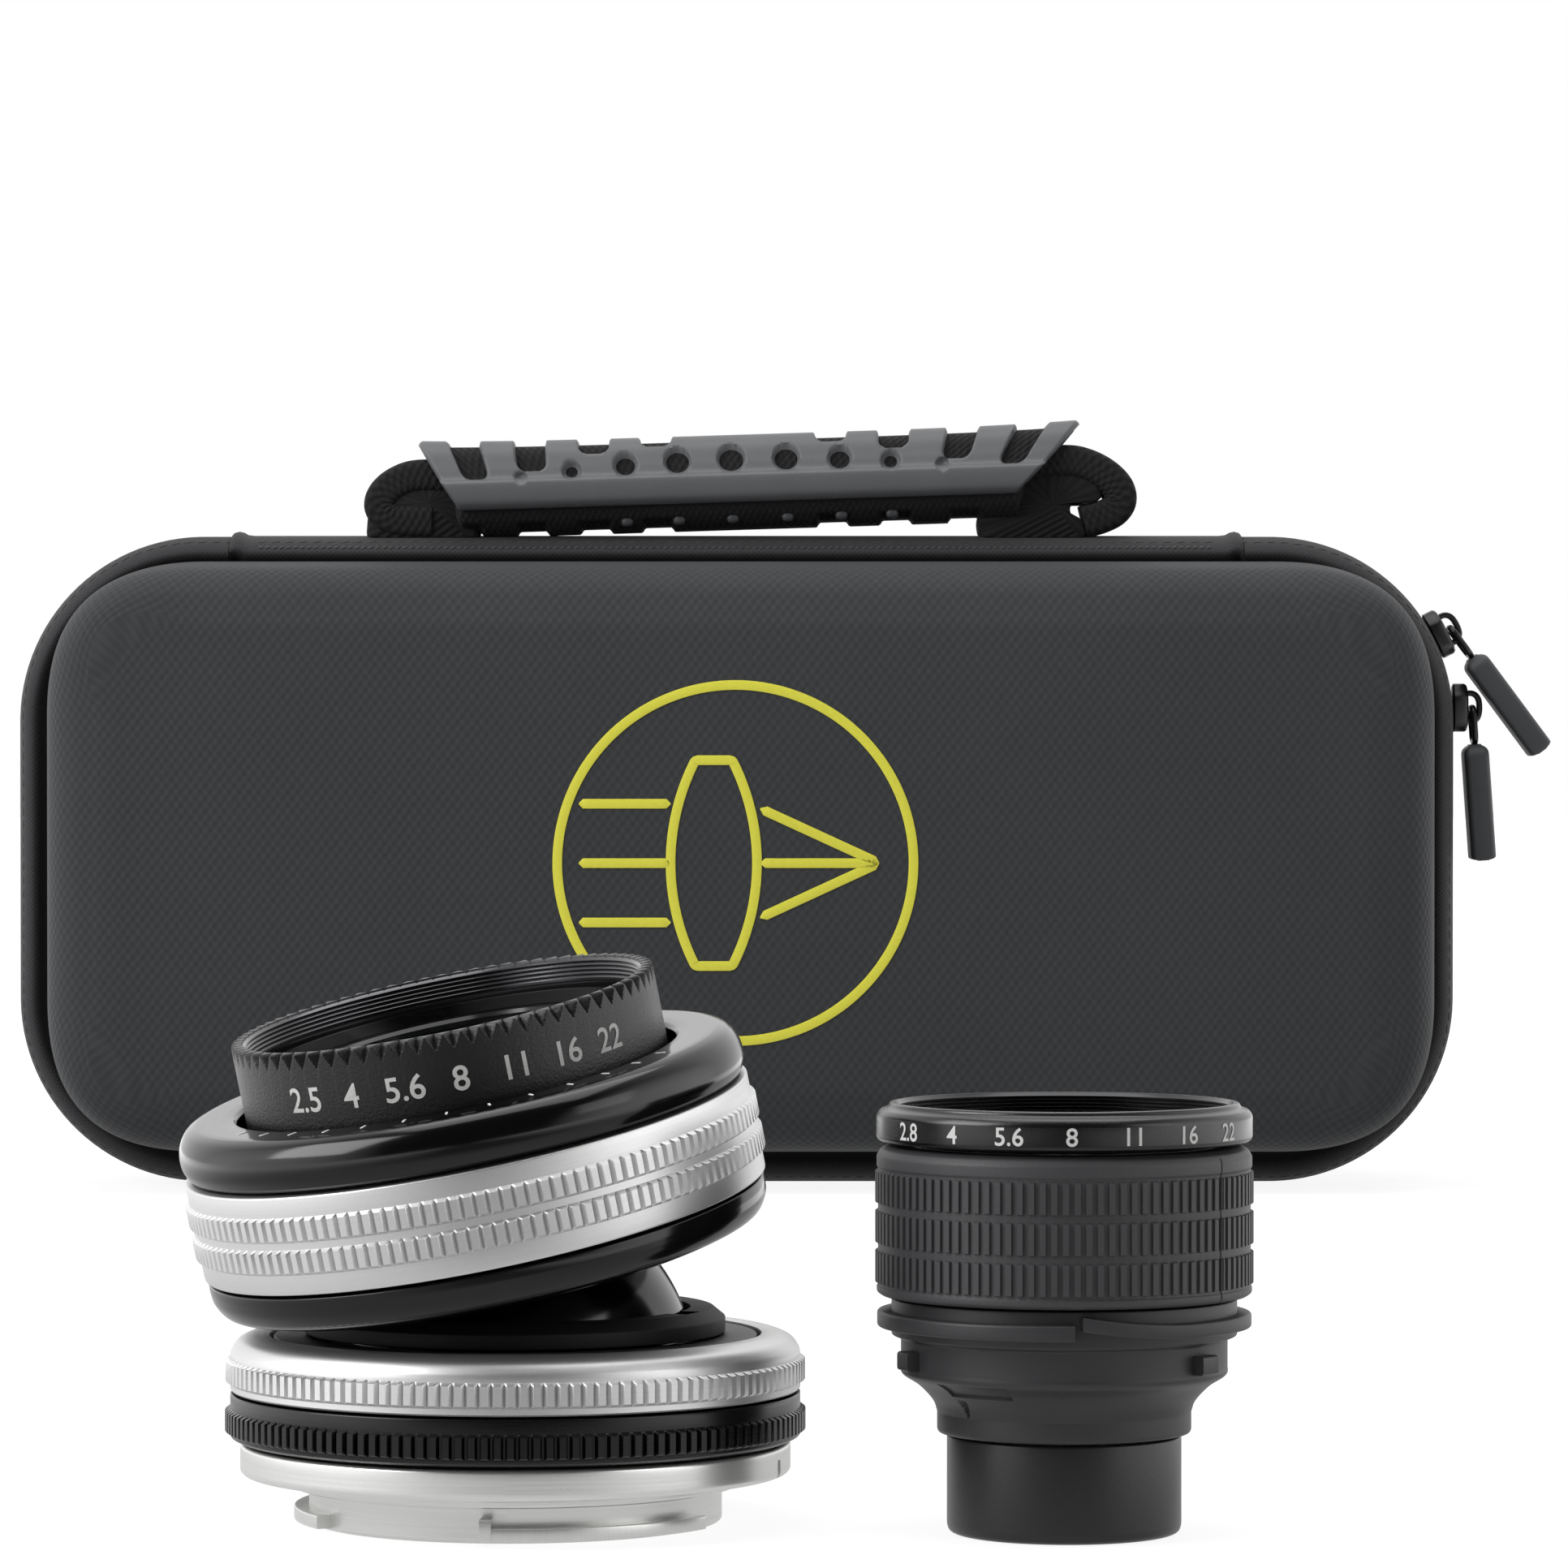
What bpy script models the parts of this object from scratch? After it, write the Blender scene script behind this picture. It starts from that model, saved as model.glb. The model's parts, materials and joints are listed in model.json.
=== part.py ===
"""Camera effects-lens set: a ball-jointed tilt lens, a loose drop-in optic and a zipped carrying case.

Run with blender --background --python part.py. Metres, +Z up, and the viewer looks along +Y.
Lengths in the functions are millimetres and become metres where a mesh is made.
"""

import math

import bmesh
import bpy
from mathutils import Quaternion, Vector

MM = 0.001

# Places of the three things on the floor, from the middle of the whole set
LENS_AT = (-29.92, -269.28)
OPTIC_AT = (31.83, -281.28)
CASE_AT = (-8.47, 266.72)

# Facets of round pieces
OUTER_STEPS = 36
INNER_STEPS = 24
GLASS_STEPS = 18
CORNER_STEPS = 6
RIBS_PER_STEP = 2

# Case
BAND_WIDTH = 273.8
BAND_HEIGHT = 123.7
CORNER_RADIUS = 35.5
HALF_DEPTH = 38.0
SHELL_INSET = 6.0
SHELL_WALL = 3.0
RIM_DEPTH = 3.0
FOAM_DEPTH = 34.4
POCKET_FLOOR = 30.5
LENS_POCKET = (-58.0, 34.5)
OPTIC_POCKET = (54.0, 24.0)
BAND_HALF = 12.0
CHAIN_HALF = 2.2
CHAIN_GAP = 0.5
TAPE_START = 3.4
TOOTH_PITCH = 18.0
TOOTH_DEPTH = 0.5
SPINE_HALF = 96.0
FOLD_INSET = 5.0

# Carrying handle, measured from the middle of the case
GRIP_LEFT = -59.8
GRIP_RIGHT = 65.1
GRIP_MIDDLE = 135.2
CORE_HALF = 7.2
CORE_LOW = 129.4
CORE_HIGH = 140.6
STRAP_HALF = 9.0
STRAP_THICK = 6.2
HANDLE_AXIS = 124.8
HANDLE_SKEW = 1.8
GRIP_SLOTS = (
    (-51.6, 136.2), (-39.4, 137.5), (-27.1, 140.2), (-15.2, 141.6),
    (18.1, 141.6), (30.2, 140.2), (43.0, 137.5), (56.9, 136.2),
)
GRIP_SLOT_WIDTH = 6.3
GRIP_HOLES = 9
GRIP_HOLE_PITCH = 10.0
GRIP_HOLE_LEVEL = 136.2
LEFT_LOOP = ((-61.3, 134.6), (-63.8, 134.1), (-66.6, 132.7), (-68.2, 130.2), (-67.2, 127.8), (-64.6, 126.8), (-61.0, 126.8))
RIGHT_LOOP = ((66.9, 137.6), (69.8, 135.8), (72.6, 133.2), (73.6, 130.4), (72.4, 128.2), (69.8, 127.0), (66.2, 126.8))

# Zip sliders and pulls
UPPER_ANGLE = 27.0
LOWER_LEVEL = 90.7
BAIL_REACH = 3.5
UPPER_SWING = 36.6
LOWER_SWING = 2.5
LINK_LENGTH = 7.0
TAB_LENGTH = 21.0
TAB_HALF = 4.5
TAB_THICK = 4.5

# Tilt lens, heights from the floor
BALL_HEIGHT = 16.8
BALL_RADIUS = 20.4
LEAN_LEFT = 11.0
LEAN_FORWARD = 6.0
MOUNT_LUGS = ((-7.0, 60.0), (113.0, 180.0), (233.0, 300.0))
CUP_SLOTS = ((10.0, 62.0), (130.0, 182.0), (250.0, 302.0))
OPTIC_LUGS = ((72.0, 118.0), (192.0, 238.0), (312.0, 358.0))
RETAINER_NOTCHES = (38.0, 128.0, 218.0, 308.0)
BLADES = 6
BLADE_PIN = 14.4
BLADE_PITCH = 0.62
BLADE_LEVEL = 20.4

# Loose optic
PEG_ANGLES = (-78.0, 59.0, 168.0)
RAMPS = ((-175.0, -14.0), (5.0, 166.0))


def clear_scene():
    """Remove every object the file opened with."""
    for old in list(bpy.data.objects):
        bpy.data.objects.remove(old, do_unlink=True)


def make_material(name, colour, roughness, metallic=0.0):
    """A plain Principled material."""
    material = bpy.data.materials.new(name)
    material.use_nodes = True
    shader = material.node_tree.nodes["Principled BSDF"]
    shader.inputs["Base Color"].default_value = (*colour, 1.0)
    shader.inputs["Roughness"].default_value = roughness
    shader.inputs["Metallic"].default_value = metallic
    material.diffuse_color = (*colour, 1.0)
    return material


def bridge(bm, first, second):
    """Faces between two rings, where one may have a whole number of times the other's points."""
    fine, coarse = (first, second) if len(first) >= len(second) else (second, first)
    if len(coarse) == 1:
        for i, vert in enumerate(fine):
            bm.faces.new((vert, fine[(i + 1) % len(fine)], coarse[0]))
        return
    ratio = len(fine) // len(coarse)
    for i, vert in enumerate(coarse):
        run = [fine[(i * ratio + k) % len(fine)] for k in range(ratio + 1)]
        bm.faces.new(run + [coarse[(i + 1) % len(coarse)], vert])


def add_skin(bm, loops, closed=False):
    """A closed body through rings of points: joined end to end, or with its two ends capped."""
    rows = [[bm.verts.new(Vector(point) * MM) for point in loop] for loop in loops]
    for first, second in zip(rows, rows[1:]):
        bridge(bm, first, second)
    if closed:
        bridge(bm, rows[-1], rows[0])
        return
    for end in (rows[0], rows[-1]):
        if len(end) > 2:
            bm.faces.new(end)


def finish(name, bm, material, pivot):
    """Turn a bmesh drawn in the pivot's frame into an object whose origin is the pivot."""
    bmesh.ops.recalc_face_normals(bm, faces=bm.faces)
    bmesh.ops.translate(bm, vec=-Vector(pivot["frame_at"]) * MM, verts=bm.verts)
    mesh = bpy.data.meshes.new(name)
    bm.to_mesh(mesh)
    bm.free()
    mesh.materials.append(material)
    mesh.shade_smooth()
    mesh.set_sharp_from_angle(angle=math.radians(32.0))
    body = bpy.data.objects.new(name, mesh)
    bpy.context.scene.collection.objects.link(body)
    body.parent = pivot
    return body


def make_body(name, loops, material, pivot, closed=False):
    """One object from one skin."""
    bm = bmesh.new()
    add_skin(bm, loops, closed)
    return finish(name, bm, material, pivot)


def make_tool(name, skins, material, pivot):
    """A hidden Boolean operand made of one or more skins."""
    bm = bmesh.new()
    for loops in skins:
        add_skin(bm, loops)
    tool = finish(name, bm, material, pivot)
    tool.hide_render = True
    tool.display_type = "WIRE"
    return tool


def combine(body, tool, operation):
    """Cut the tool from a body or join it on."""
    step = body.modifiers.new(operation.title() + " " + tool.name, "BOOLEAN")
    step.operation = operation
    step.solver = "EXACT"
    step.object = tool


def add_pivot(name, parent=None, at=(0.0, 0.0, 0.0), turn=None, frame_at=None):
    """An empty on a joint axis. Its frame_at is where it lies in the frame its pieces are drawn in."""
    pivot = bpy.data.objects.new(name, None)
    bpy.context.scene.collection.objects.link(pivot)
    pivot.empty_display_size = 0.01
    start = Vector(parent["frame_at"]) if parent and frame_at is None else Vector()
    pivot.location = (Vector(at) - start) * MM
    pivot["frame_at"] = tuple(at) if frame_at is None else tuple(frame_at)
    pivot.parent = parent
    if turn is not None:
        pivot.rotation_mode = "QUATERNION"
        pivot.rotation_quaternion = turn
    return pivot


def ring(radius, height, steps, rib_depth=0.0):
    """Points round the Z axis, ribbed with V grooves if a rib depth is given."""
    if radius == 0.0:
        return [(0.0, 0.0, height)]
    count = steps * 2 * RIBS_PER_STEP if rib_depth else steps
    points = []
    for i in range(count):
        angle = 2.0 * math.pi * i / count
        reach = radius - rib_depth * (i % 2)
        points.append((reach * math.sin(angle), -reach * math.cos(angle), height))
    return points


def turned(name, profile, steps, material, pivot):
    """A turned piece. Each profile point is (radius, height) or (radius, height, rib depth)."""
    loops = [ring(point[0], point[1], steps, *point[2:]) for point in profile]
    return make_body(name, loops, material, pivot, closed=profile[0][0] > 0.0)


def arc_bar(inner, outer, low, high, span, steps, rise=0.0):
    """Rings of a bar bent round the Z axis between two angles, climbing by rise."""
    loops = []
    for i in range(steps + 1):
        angle = math.radians(span[0] + (span[1] - span[0]) * i / steps)
        lift = rise * i / steps
        side = (math.sin(angle), -math.cos(angle))
        corners = ((inner, low), (outer, low), (outer, high), (inner, high))
        loops.append([(r * side[0], r * side[1], z + lift) for r, z in corners])
    return loops


def prism(corners, start, end):
    """Rings of a prism: corners are 2D, start and end place them in 3D."""
    return [[start(u, v) for u, v in corners], [end(u, v) for u, v in corners]]


def block(low, high):
    """Rings of an upright box between two opposite corners."""
    corners = ((low[0], low[1]), (high[0], low[1]), (high[0], high[1]), (low[0], high[1]))
    return prism(corners, lambda x, y: (x, y, low[2]), lambda x, y: (x, y, high[2]))


def outline(inset):
    """Corner arcs of the case's band outline, set in by inset, as (x, z, normal x, normal z)."""
    radius = CORNER_RADIUS - inset
    half = BAND_WIDTH / 2.0 - CORNER_RADIUS
    centres = (
        (half, BAND_HEIGHT - CORNER_RADIUS, 90.0),
        (half, CORNER_RADIUS, 0.0),
        (-half, CORNER_RADIUS, -90.0),
        (-half, BAND_HEIGHT - CORNER_RADIUS, -180.0),
    )
    points = []
    for x, z, start in centres:
        for i in range(CORNER_STEPS + 1):
            angle = math.radians(start - 90.0 * i / CORNER_STEPS)
            normal = (math.cos(angle), math.sin(angle))
            points.append((x + radius * normal[0], z + radius * normal[1], *normal))
    return points


def case_ring(inset, depth):
    """The band outline, set in, at a depth from the parting plane."""
    return [(x, depth, z) for x, z, _, _ in outline(inset)]


def zip_route():
    """The open route of the zip, from the spine's right end round the bottom to its left end."""
    start = (SPINE_HALF + 1.2, BAND_HEIGHT, 0.0, 1.0)
    end = (-SPINE_HALF - 1.2, BAND_HEIGHT, 0.0, 1.0)
    return [start, *outline(0.0), end]


def zip_stations(pitch):
    """Points spaced evenly along the zip's route."""
    route = zip_route()
    lengths = [0.0]
    for first, second in zip(route, route[1:]):
        step = math.hypot(second[0] - first[0], second[1] - first[1])
        lengths.append(lengths[-1] + step)
    count = int(lengths[-1] / pitch)
    stations = []
    leg = 0
    for i in range(count + 1):
        at = lengths[-1] * i / count
        while leg < len(lengths) - 2 and at > lengths[leg + 1]:
            leg += 1
        share = (at - lengths[leg]) / (lengths[leg + 1] - lengths[leg])
        stations.append(
            tuple(a + (b - a) * share for a, b in zip(route[leg], route[leg + 1]))
        )
    return stations


def strip(stations, section):
    """Rings of a strip along the zip's route. The section is (inset, depth) points."""
    return [
        [(x - nx * inset, depth, z - nz * inset) for inset, depth in section]
        for x, z, nx, nz in stations
    ]


def teeth_loops(side):
    """One row of the zip's teeth, notched along its outer edge."""
    near, far = side * CHAIN_GAP, side * CHAIN_HALF
    loops = []
    for i, station in enumerate(zip_stations(TOOTH_PITCH / 2.0)):
        top = TOOTH_DEPTH * (i % 2)
        loops += strip([station], ((top, near), (top, far), (2.4, far), (2.4, near)))
    return loops


def shell_loops(side):
    """A moulded tray: outer face, rounded edge, wall and rim, then back down the inside."""
    outer = ((18.0, HALF_DEPTH), (12.0, 36.4), (8.6, 32.5), (7.0, 26.0), (SHELL_INSET, 12.0))
    inner = ((9.0, 12.0), (10.0, 26.0), (12.4, 32.0), (15.0, HALF_DEPTH - SHELL_WALL))
    rim = ((SHELL_INSET, RIM_DEPTH), (SHELL_INSET + SHELL_WALL, RIM_DEPTH))
    return [case_ring(inset, side * depth) for inset, depth in outer + rim + inner]


def make_foam(name, side, material, pivot):
    """Foam block with a pocket for the lens and one for the optic."""
    profile = ((15.6, FOAM_DEPTH), (11.2, 28.0), (9.6, 1.0))
    body = make_body(
        name, [case_ring(inset, side * depth) for inset, depth in profile], material, pivot
    )
    skins = []
    for (x, radius), steps in ((LENS_POCKET, 18), (OPTIC_POCKET, 14)):
        corners = [
            (
                x + radius * math.cos(2.0 * math.pi * i / steps),
                BAND_HEIGHT / 2.0 + radius * math.sin(2.0 * math.pi * i / steps),
            )
            for i in range(steps)
        ]
        skins.append(
            prism(
                corners,
                lambda u, v: (u, side * POCKET_FLOOR, v),
                lambda u, v: (u, side * -3.0, v),
            )
        )
    combine(body, make_tool(name + "_pockets", skins, material, pivot), "DIFFERENCE")
    return body


def make_case(stuff):
    """Both halves, the zip, the spine and what hangs on them."""
    frame = add_pivot("case_frame", at=(*CASE_AT, 0.0), frame_at=(0.0, 0.0, 0.0))
    fold = BAND_HEIGHT - FOLD_INSET
    spine = add_pivot("spine_axis", frame, (0.0, BAND_HALF, fold))
    lid = add_pivot("lid_axis", spine, (0.0, -BAND_HALF, fold))

    make_body("rear_shell", shell_loops(1.0), stuff["twill"], frame)
    make_body("lid_shell", shell_loops(-1.0), stuff["twill"], lid)
    make_foam("rear_foam", 1.0, stuff["foam"], frame)
    make_foam("lid_foam", -1.0, stuff["foam"], lid)

    tape = ((0.5, TAPE_START), (1.5, 7.0), (4.4, BAND_HALF), (5.6, 11.4), (3.0, 6.6), (2.0, TAPE_START))
    route = zip_route()
    make_body("rear_zip_tape", strip(route, tape), stuff["tape"], frame)
    front = [(inset, -depth) for inset, depth in tape]
    make_body("lid_zip_tape", strip(route, front), stuff["tape"], lid)

    make_body("zip_teeth_rear", teeth_loops(1.0), stuff["coil"], frame)
    make_body("zip_teeth_lid", teeth_loops(-1.0), stuff["coil"], lid)

    make_spine(stuff, spine)
    make_handle(stuff, spine)
    make_sliders(stuff, frame)


def make_spine(stuff, spine):
    """Hinge band across the top, thicker where its ends are folded over, and the strap's two loops."""
    section = (
        (4.4, -BAND_HALF),
        (0.4, -6.0),
        (0.4, 6.0),
        (4.4, BAND_HALF),
        (5.6, BAND_HALF),
        (1.9, 5.6),
        (1.9, -5.6),
        (5.6, -BAND_HALF),
    )
    hem = ((-SPINE_HALF, 0.2), (-SPINE_HALF + 1.0, 1.0), (-SPINE_HALF + 6.0, 1.0), (-SPINE_HALF + 8.0, 0.0))
    stations = list(hem) + [(-x, lift) for x, lift in reversed(hem)]
    loops = []
    for x, lift in stations:
        raised = [(x, y, BAND_HEIGHT - inset + lift) for inset, y in section[:4]]
        loops.append(raised + [(x, y, BAND_HEIGHT - inset) for inset, y in section[4:]])
    make_body("spine_strip", loops, stuff["tape"], spine)

    for name, route in (("strap_loop_left", LEFT_LOOP), ("strap_loop_right", RIGHT_LOOP)):
        make_body(name, strap_loops(route), stuff["webbing"], spine)


def strap_loops(route):
    """Rings of a thick strap with rounded edges along a route of (x, z) points."""
    half = STRAP_THICK / 2.0
    edge = ((-STRAP_HALF + 1.6, half), (STRAP_HALF - 1.6, half), (STRAP_HALF, half - 1.6), (STRAP_HALF, 1.6 - half))
    section = list(edge) + [(-y, -off) for y, off in edge]
    loops = []
    for i, (x, z) in enumerate(route):
        before = route[max(i - 1, 0)]
        after = route[min(i + 1, len(route) - 1)]
        along = Vector((after[0] - before[0], after[1] - before[1])).normalized()
        loops.append([(x - along[1] * off, y, z + along[0] * off) for y, off in section])
    return loops


def make_handle(stuff, spine):
    """Webbing core and the rubber sleeve round it, with cross bars above and below and a row of holes."""
    skew = Quaternion((0.0, 1.0, 0.0), -math.radians(HANDLE_SKEW))
    pivot = add_pivot("handle_axis", spine, (0.0, 0.0, HANDLE_AXIS), skew)
    low = (GRIP_LEFT + 0.4, -CORE_HALF, CORE_LOW)
    high = (GRIP_RIGHT - 0.4, CORE_HALF, CORE_HIGH)
    make_body("handle_core", block(low, high), stuff["webbing"], pivot)

    half = ((4.5, 9.4), (8.2, 7.8), (10.0, 3.8), (10.4, -0.8), (12.0, -1.3), (12.0, -5.6), (9.6, -6.2), (6.5, -9.2))
    section = list(half) + [(-y, z) for y, z in reversed(half)]
    stations = ((GRIP_LEFT, 0.92), (GRIP_LEFT + 2.0, 1.0), (0.0, 1.02), (GRIP_RIGHT - 2.0, 1.0), (GRIP_RIGHT, 0.95))
    loops = [[(x, y * scale, GRIP_MIDDLE + z * scale) for y, z in section] for x, scale in stations]
    grip = make_body("handle_grip", loops, stuff["grip"], pivot)
    low = (GRIP_LEFT - 5.0, -CORE_HALF - 0.4, CORE_LOW - 0.4)
    high = (GRIP_RIGHT + 5.0, CORE_HALF + 0.4, CORE_HIGH + 0.4)
    skins = [block(low, high)]
    for x, level in GRIP_SLOTS:
        left, right = x - GRIP_SLOT_WIDTH / 2.0, x + GRIP_SLOT_WIDTH / 2.0
        skins.append(block((left, -14.0, level), (right, 14.0, GRIP_MIDDLE + 14.0)))
        skins.append(block((left, -14.0, GRIP_MIDDLE - 14.0), (right, 14.0, CORE_LOW - 1.6)))
    for i in range(GRIP_HOLES):
        x = (i - (GRIP_HOLES - 1) / 2.0) * GRIP_HOLE_PITCH
        turns = [math.pi * k / 4.0 for k in range(8)]
        corners = [(x + 1.9 * math.cos(turn), GRIP_HOLE_LEVEL + 1.9 * math.sin(turn)) for turn in turns]
        for side in (-1.0, 1.0):
            skins.append(
                prism(
                    corners,
                    lambda u, v: (u, side * 8.3, v),
                    lambda u, v: (u, side * 14.0, v),
                )
            )
    for k, skin in enumerate(skins):
        combine(grip, make_tool(f"grip_opening_{k}", [skin], stuff["grip"], pivot), "DIFFERENCE")


def make_slider(name, stuff, pivot, centre, angle):
    """Slider body with a bail. The angle is that of the band's outward normal at the centre."""
    out = Vector((math.cos(angle), 0.0, math.sin(angle)))
    along = Vector((-math.sin(angle), 0.0, math.cos(angle)))
    across = Vector((0.0, 1.0, 0.0))
    middle = Vector(centre)

    def place(reach, shift, side):
        return middle + out * reach + along * shift + across * side

    plan = ((-4.6, -2.4), (-3.2, -4.0), (2.2, -4.0), (4.6, -1.6), (4.6, 1.6), (2.2, 4.0), (-3.2, 4.0), (-4.6, 2.4))
    loops = prism(plan, lambda t, s: place(0.5, t, s), lambda t, s: place(2.5, t, s))
    body = make_body(name, loops, stuff["slider"], pivot)
    bail = (
        (-3.4, 2.2), (-3.2, 4.6), (-1.8, 5.6), (1.8, 5.6), (3.2, 4.6), (3.4, 2.2),
        (2.1, 2.2), (2.0, 4.2), (1.2, 4.6), (-1.2, 4.6), (-2.0, 4.2), (-2.1, 2.2),
    )
    skin = prism(bail, lambda t, r: place(r, t, -1.0), lambda t, r: place(r, t, 1.0))
    combine(body, make_tool(name + "_bail", [skin], stuff["slider"], pivot), "UNION")


def make_puller(name, stuff, pivot, hole, swing):
    """Wire link through a bail and the rubber tab it carries, hanging at an angle from straight down."""
    down = Vector((math.sin(swing), 0.0, -math.cos(swing)))
    out = Vector((math.cos(swing), 0.0, math.sin(swing)))
    across = Vector((0.0, 1.0, 0.0))
    middle = Vector(hole)

    def place(fall, side, reach):
        return middle + down * fall + across * side + out * reach

    rail = ((-0.6, -2.4), (-0.6, 2.4), (1.0, 3.4), (5.6, 3.4), (6.6, 2.4), (6.6, -2.4), (5.6, -3.4), (1.0, -3.4))
    inside = ((0.6, -1.8), (0.6, 1.8), (1.4, 2.2), (5.0, 2.2), (5.4, 1.8), (5.4, -1.8), (5.0, -2.2), (1.4, -2.2))
    loops = [[place(f, s, reach) for f, s in edge] for edge, reach in ((rail, -0.6), (rail, 0.6), (inside, 0.6), (inside, -0.6))]
    make_body("puller_link_" + name, loops, stuff["slider"], pivot, closed=True)

    profile = ((0.0, 0.72, 0.55), (1.2, 0.92, 0.9), (5.0, 1.0, 1.0), (TAB_LENGTH - 4.0, 1.0, 1.0), (TAB_LENGTH - 1.0, 0.9, 0.85), (TAB_LENGTH, 0.6, 0.55))
    plan = ((-1.0, -0.55), (-0.8, -1.0), (0.8, -1.0), (1.0, -0.55), (1.0, 0.55), (0.8, 1.0), (-0.8, 1.0), (-1.0, 0.55))
    loops = [
        [place(LINK_LENGTH + fall, u * TAB_HALF * wide, v * TAB_THICK / 2.0 * thick) for u, v in plan]
        for fall, wide, thick in profile
    ]
    make_body("puller_tab_" + name, loops, stuff["grip"], pivot)


def make_sliders(stuff, frame):
    """Two sliders at the top right of the zip, each with a pull."""
    centre = Vector((BAND_WIDTH / 2.0 - CORNER_RADIUS, 0.0, BAND_HEIGHT - CORNER_RADIUS))
    angle = math.radians(UPPER_ANGLE)
    out = Vector((math.cos(angle), 0.0, math.sin(angle)))
    upper = add_pivot("upper_slider_axis", frame, centre)
    make_slider("zip_slider_upper", stuff, upper, centre + out * CORNER_RADIUS, angle)
    hole = centre + out * (CORNER_RADIUS + BAIL_REACH)
    make_puller("upper", stuff, add_pivot("upper_puller_axis", upper, hole), hole, math.radians(UPPER_SWING))

    at = Vector((BAND_WIDTH / 2.0, 0.0, LOWER_LEVEL))
    lower = add_pivot("lower_slider_axis", frame, at)
    make_slider("zip_slider_lower", stuff, lower, at, 0.0)
    hole = at + Vector((BAIL_REACH, 0.0, 0.0))
    make_puller("lower", stuff, add_pivot("lower_puller_axis", lower, hole), hole, math.radians(LOWER_SWING))


def make_lens_base(stuff, frame):
    """Camera mount, ribbed collar, socket and the two rings that hold the ball."""
    mount = turned(
        "mount_bayonet",
        (
            (20.0, 0.4), (20.4, 0.0), (24.0, 0.0), (24.4, 0.4), (24.4, 4.6), (27.8, 4.9),
            (28.6, 5.7), (30.9, 5.7), (31.2, 6.0), (31.2, 8.7), (30.9, 9.0), (20.0, 9.0),
        ),
        OUTER_STEPS, stuff["chrome"], frame,
    )
    lugs = [arc_bar(23.6, 25.4, 0.6, 2.4, span, 6) for span in MOUNT_LUGS]
    combine(mount, make_tool("mount_lugs", lugs, stuff["chrome"], frame), "UNION")

    turned(
        "mount_collar",
        (
            (20.4, 9.3), (31.3, 9.3), (32.2, 9.8), (33.0, 9.8, 0.55), (33.0, 13.3, 0.55),
            (32.3, 13.3), (32.3, 14.65), (23.1, 14.65), (23.1, 11.6), (20.4, 11.6),
        ),
        OUTER_STEPS, stuff["black"], frame,
    )
    turned(
        "socket_housing",
        ((23.1, 14.95), (27.4, 14.95), (27.4, 21.1), (23.1, 21.1)),
        INNER_STEPS, stuff["matte"], frame,
    )
    collar = turned(
        "retaining_ring",
        ((20.5, 21.4), (23.8, 21.4), (23.8, 22.5), (22.1, 24.2), (19.8, 24.2)),
        INNER_STEPS, stuff["black"], frame,
    )
    notches = []
    for angle in RETAINER_NOTCHES:
        notches.append(arc_bar(21.4, 25.0, 22.4, 25.0, (angle - 5.0, angle + 5.0), 2))
    combine(collar, make_tool("retaining_notches", notches, stuff["black"], frame), "DIFFERENCE")

    turned(
        "lock_ring",
        (
            (27.9, 14.95), (32.0, 14.95), (32.0, 15.7), (32.7, 15.7, 0.5), (32.7, 18.5, 0.5),
            (32.0, 18.5), (31.6, 19.7), (30.7, 20.8), (29.5, 21.4), (27.9, 21.4),
        ),
        OUTER_STEPS, stuff["silver"], add_pivot("lock_axis", frame),
    )


def make_liner(stuff, swivel):
    """Plastic seat with a spherical bore."""
    seat = BALL_RADIUS + 0.5
    bore = [(math.sqrt(seat**2 - level**2), BALL_HEIGHT + level) for level in (4.0, 2.0, 0.0, -2.4, -4.8)]
    profile = [(22.6, BALL_HEIGHT - 4.8), (22.6, BALL_HEIGHT + 4.0), *bore]
    turned("socket_liner", profile, INNER_STEPS, stuff["nylon"], swivel)


def make_head(stuff, head):
    """Ball, base cup, focus ring and the moving front, drawn along the head's own axis from the ball."""
    sphere = [(math.sqrt(BALL_RADIUS**2 - level**2), level) for level in (-8.0, -4.0, 0.0, 4.0, 7.0, 9.8, 12.0)]
    turned(
        "swivel_ball",
        [(14.4, -8.0), *sphere, (16.5, 15.8), (14.4, 15.8)],
        INNER_STEPS, stuff["gloss"], head,
    )
    turned(
        "head_base",
        (
            (16.95, 14.3), (29.4, 12.9), (30.9, 13.5), (31.9, 15.2), (32.0, 17.3), (28.5, 17.3),
            (28.5, 28.3), (26.8, 28.3), (26.8, 16.4), (16.95, 16.4),
        ),
        OUTER_STEPS, stuff["gloss"], head,
    )
    turned(
        "focus_ring",
        (
            (28.95, 17.7), (32.2, 17.7), (32.3, 20.0), (32.9, 20.0, 0.5), (32.9, 22.8, 0.5), (32.3, 22.8),
            (32.3, 23.6), (32.9, 23.6, 0.5), (32.9, 26.4, 0.5), (32.3, 26.4), (32.3, 28.8), (28.95, 28.8),
        ),
        OUTER_STEPS, stuff["silver"], add_pivot("focus_axis", head),
    )
    carriage = add_pivot("carriage_axis", head)
    turned(
        "front_plate",
        (
            (25.3, 29.2), (31.6, 29.2), (32.2, 30.2), (32.3, 31.8), (31.7, 33.3),
            (30.6, 34.3), (29.0, 34.7), (25.9, 34.7), (25.3, 34.2),
        ),
        OUTER_STEPS, stuff["gloss"], carriage,
    )
    cup = turned(
        "optic_cup",
        ((22.0, 17.8), (26.3, 17.8), (26.3, 28.8), (19.8, 28.8), (19.8, 27.4), (22.0, 27.4)),
        INNER_STEPS, stuff["matte"], carriage,
    )
    slots = [arc_bar(18.0, 22.2, 26.0, 30.0, span, 4) for span in CUP_SLOTS]
    combine(cup, make_tool("cup_slots", slots, stuff["matte"], carriage), "DIFFERENCE")
    make_fitted_optic(stuff, add_pivot("optic_axis", carriage))


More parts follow.
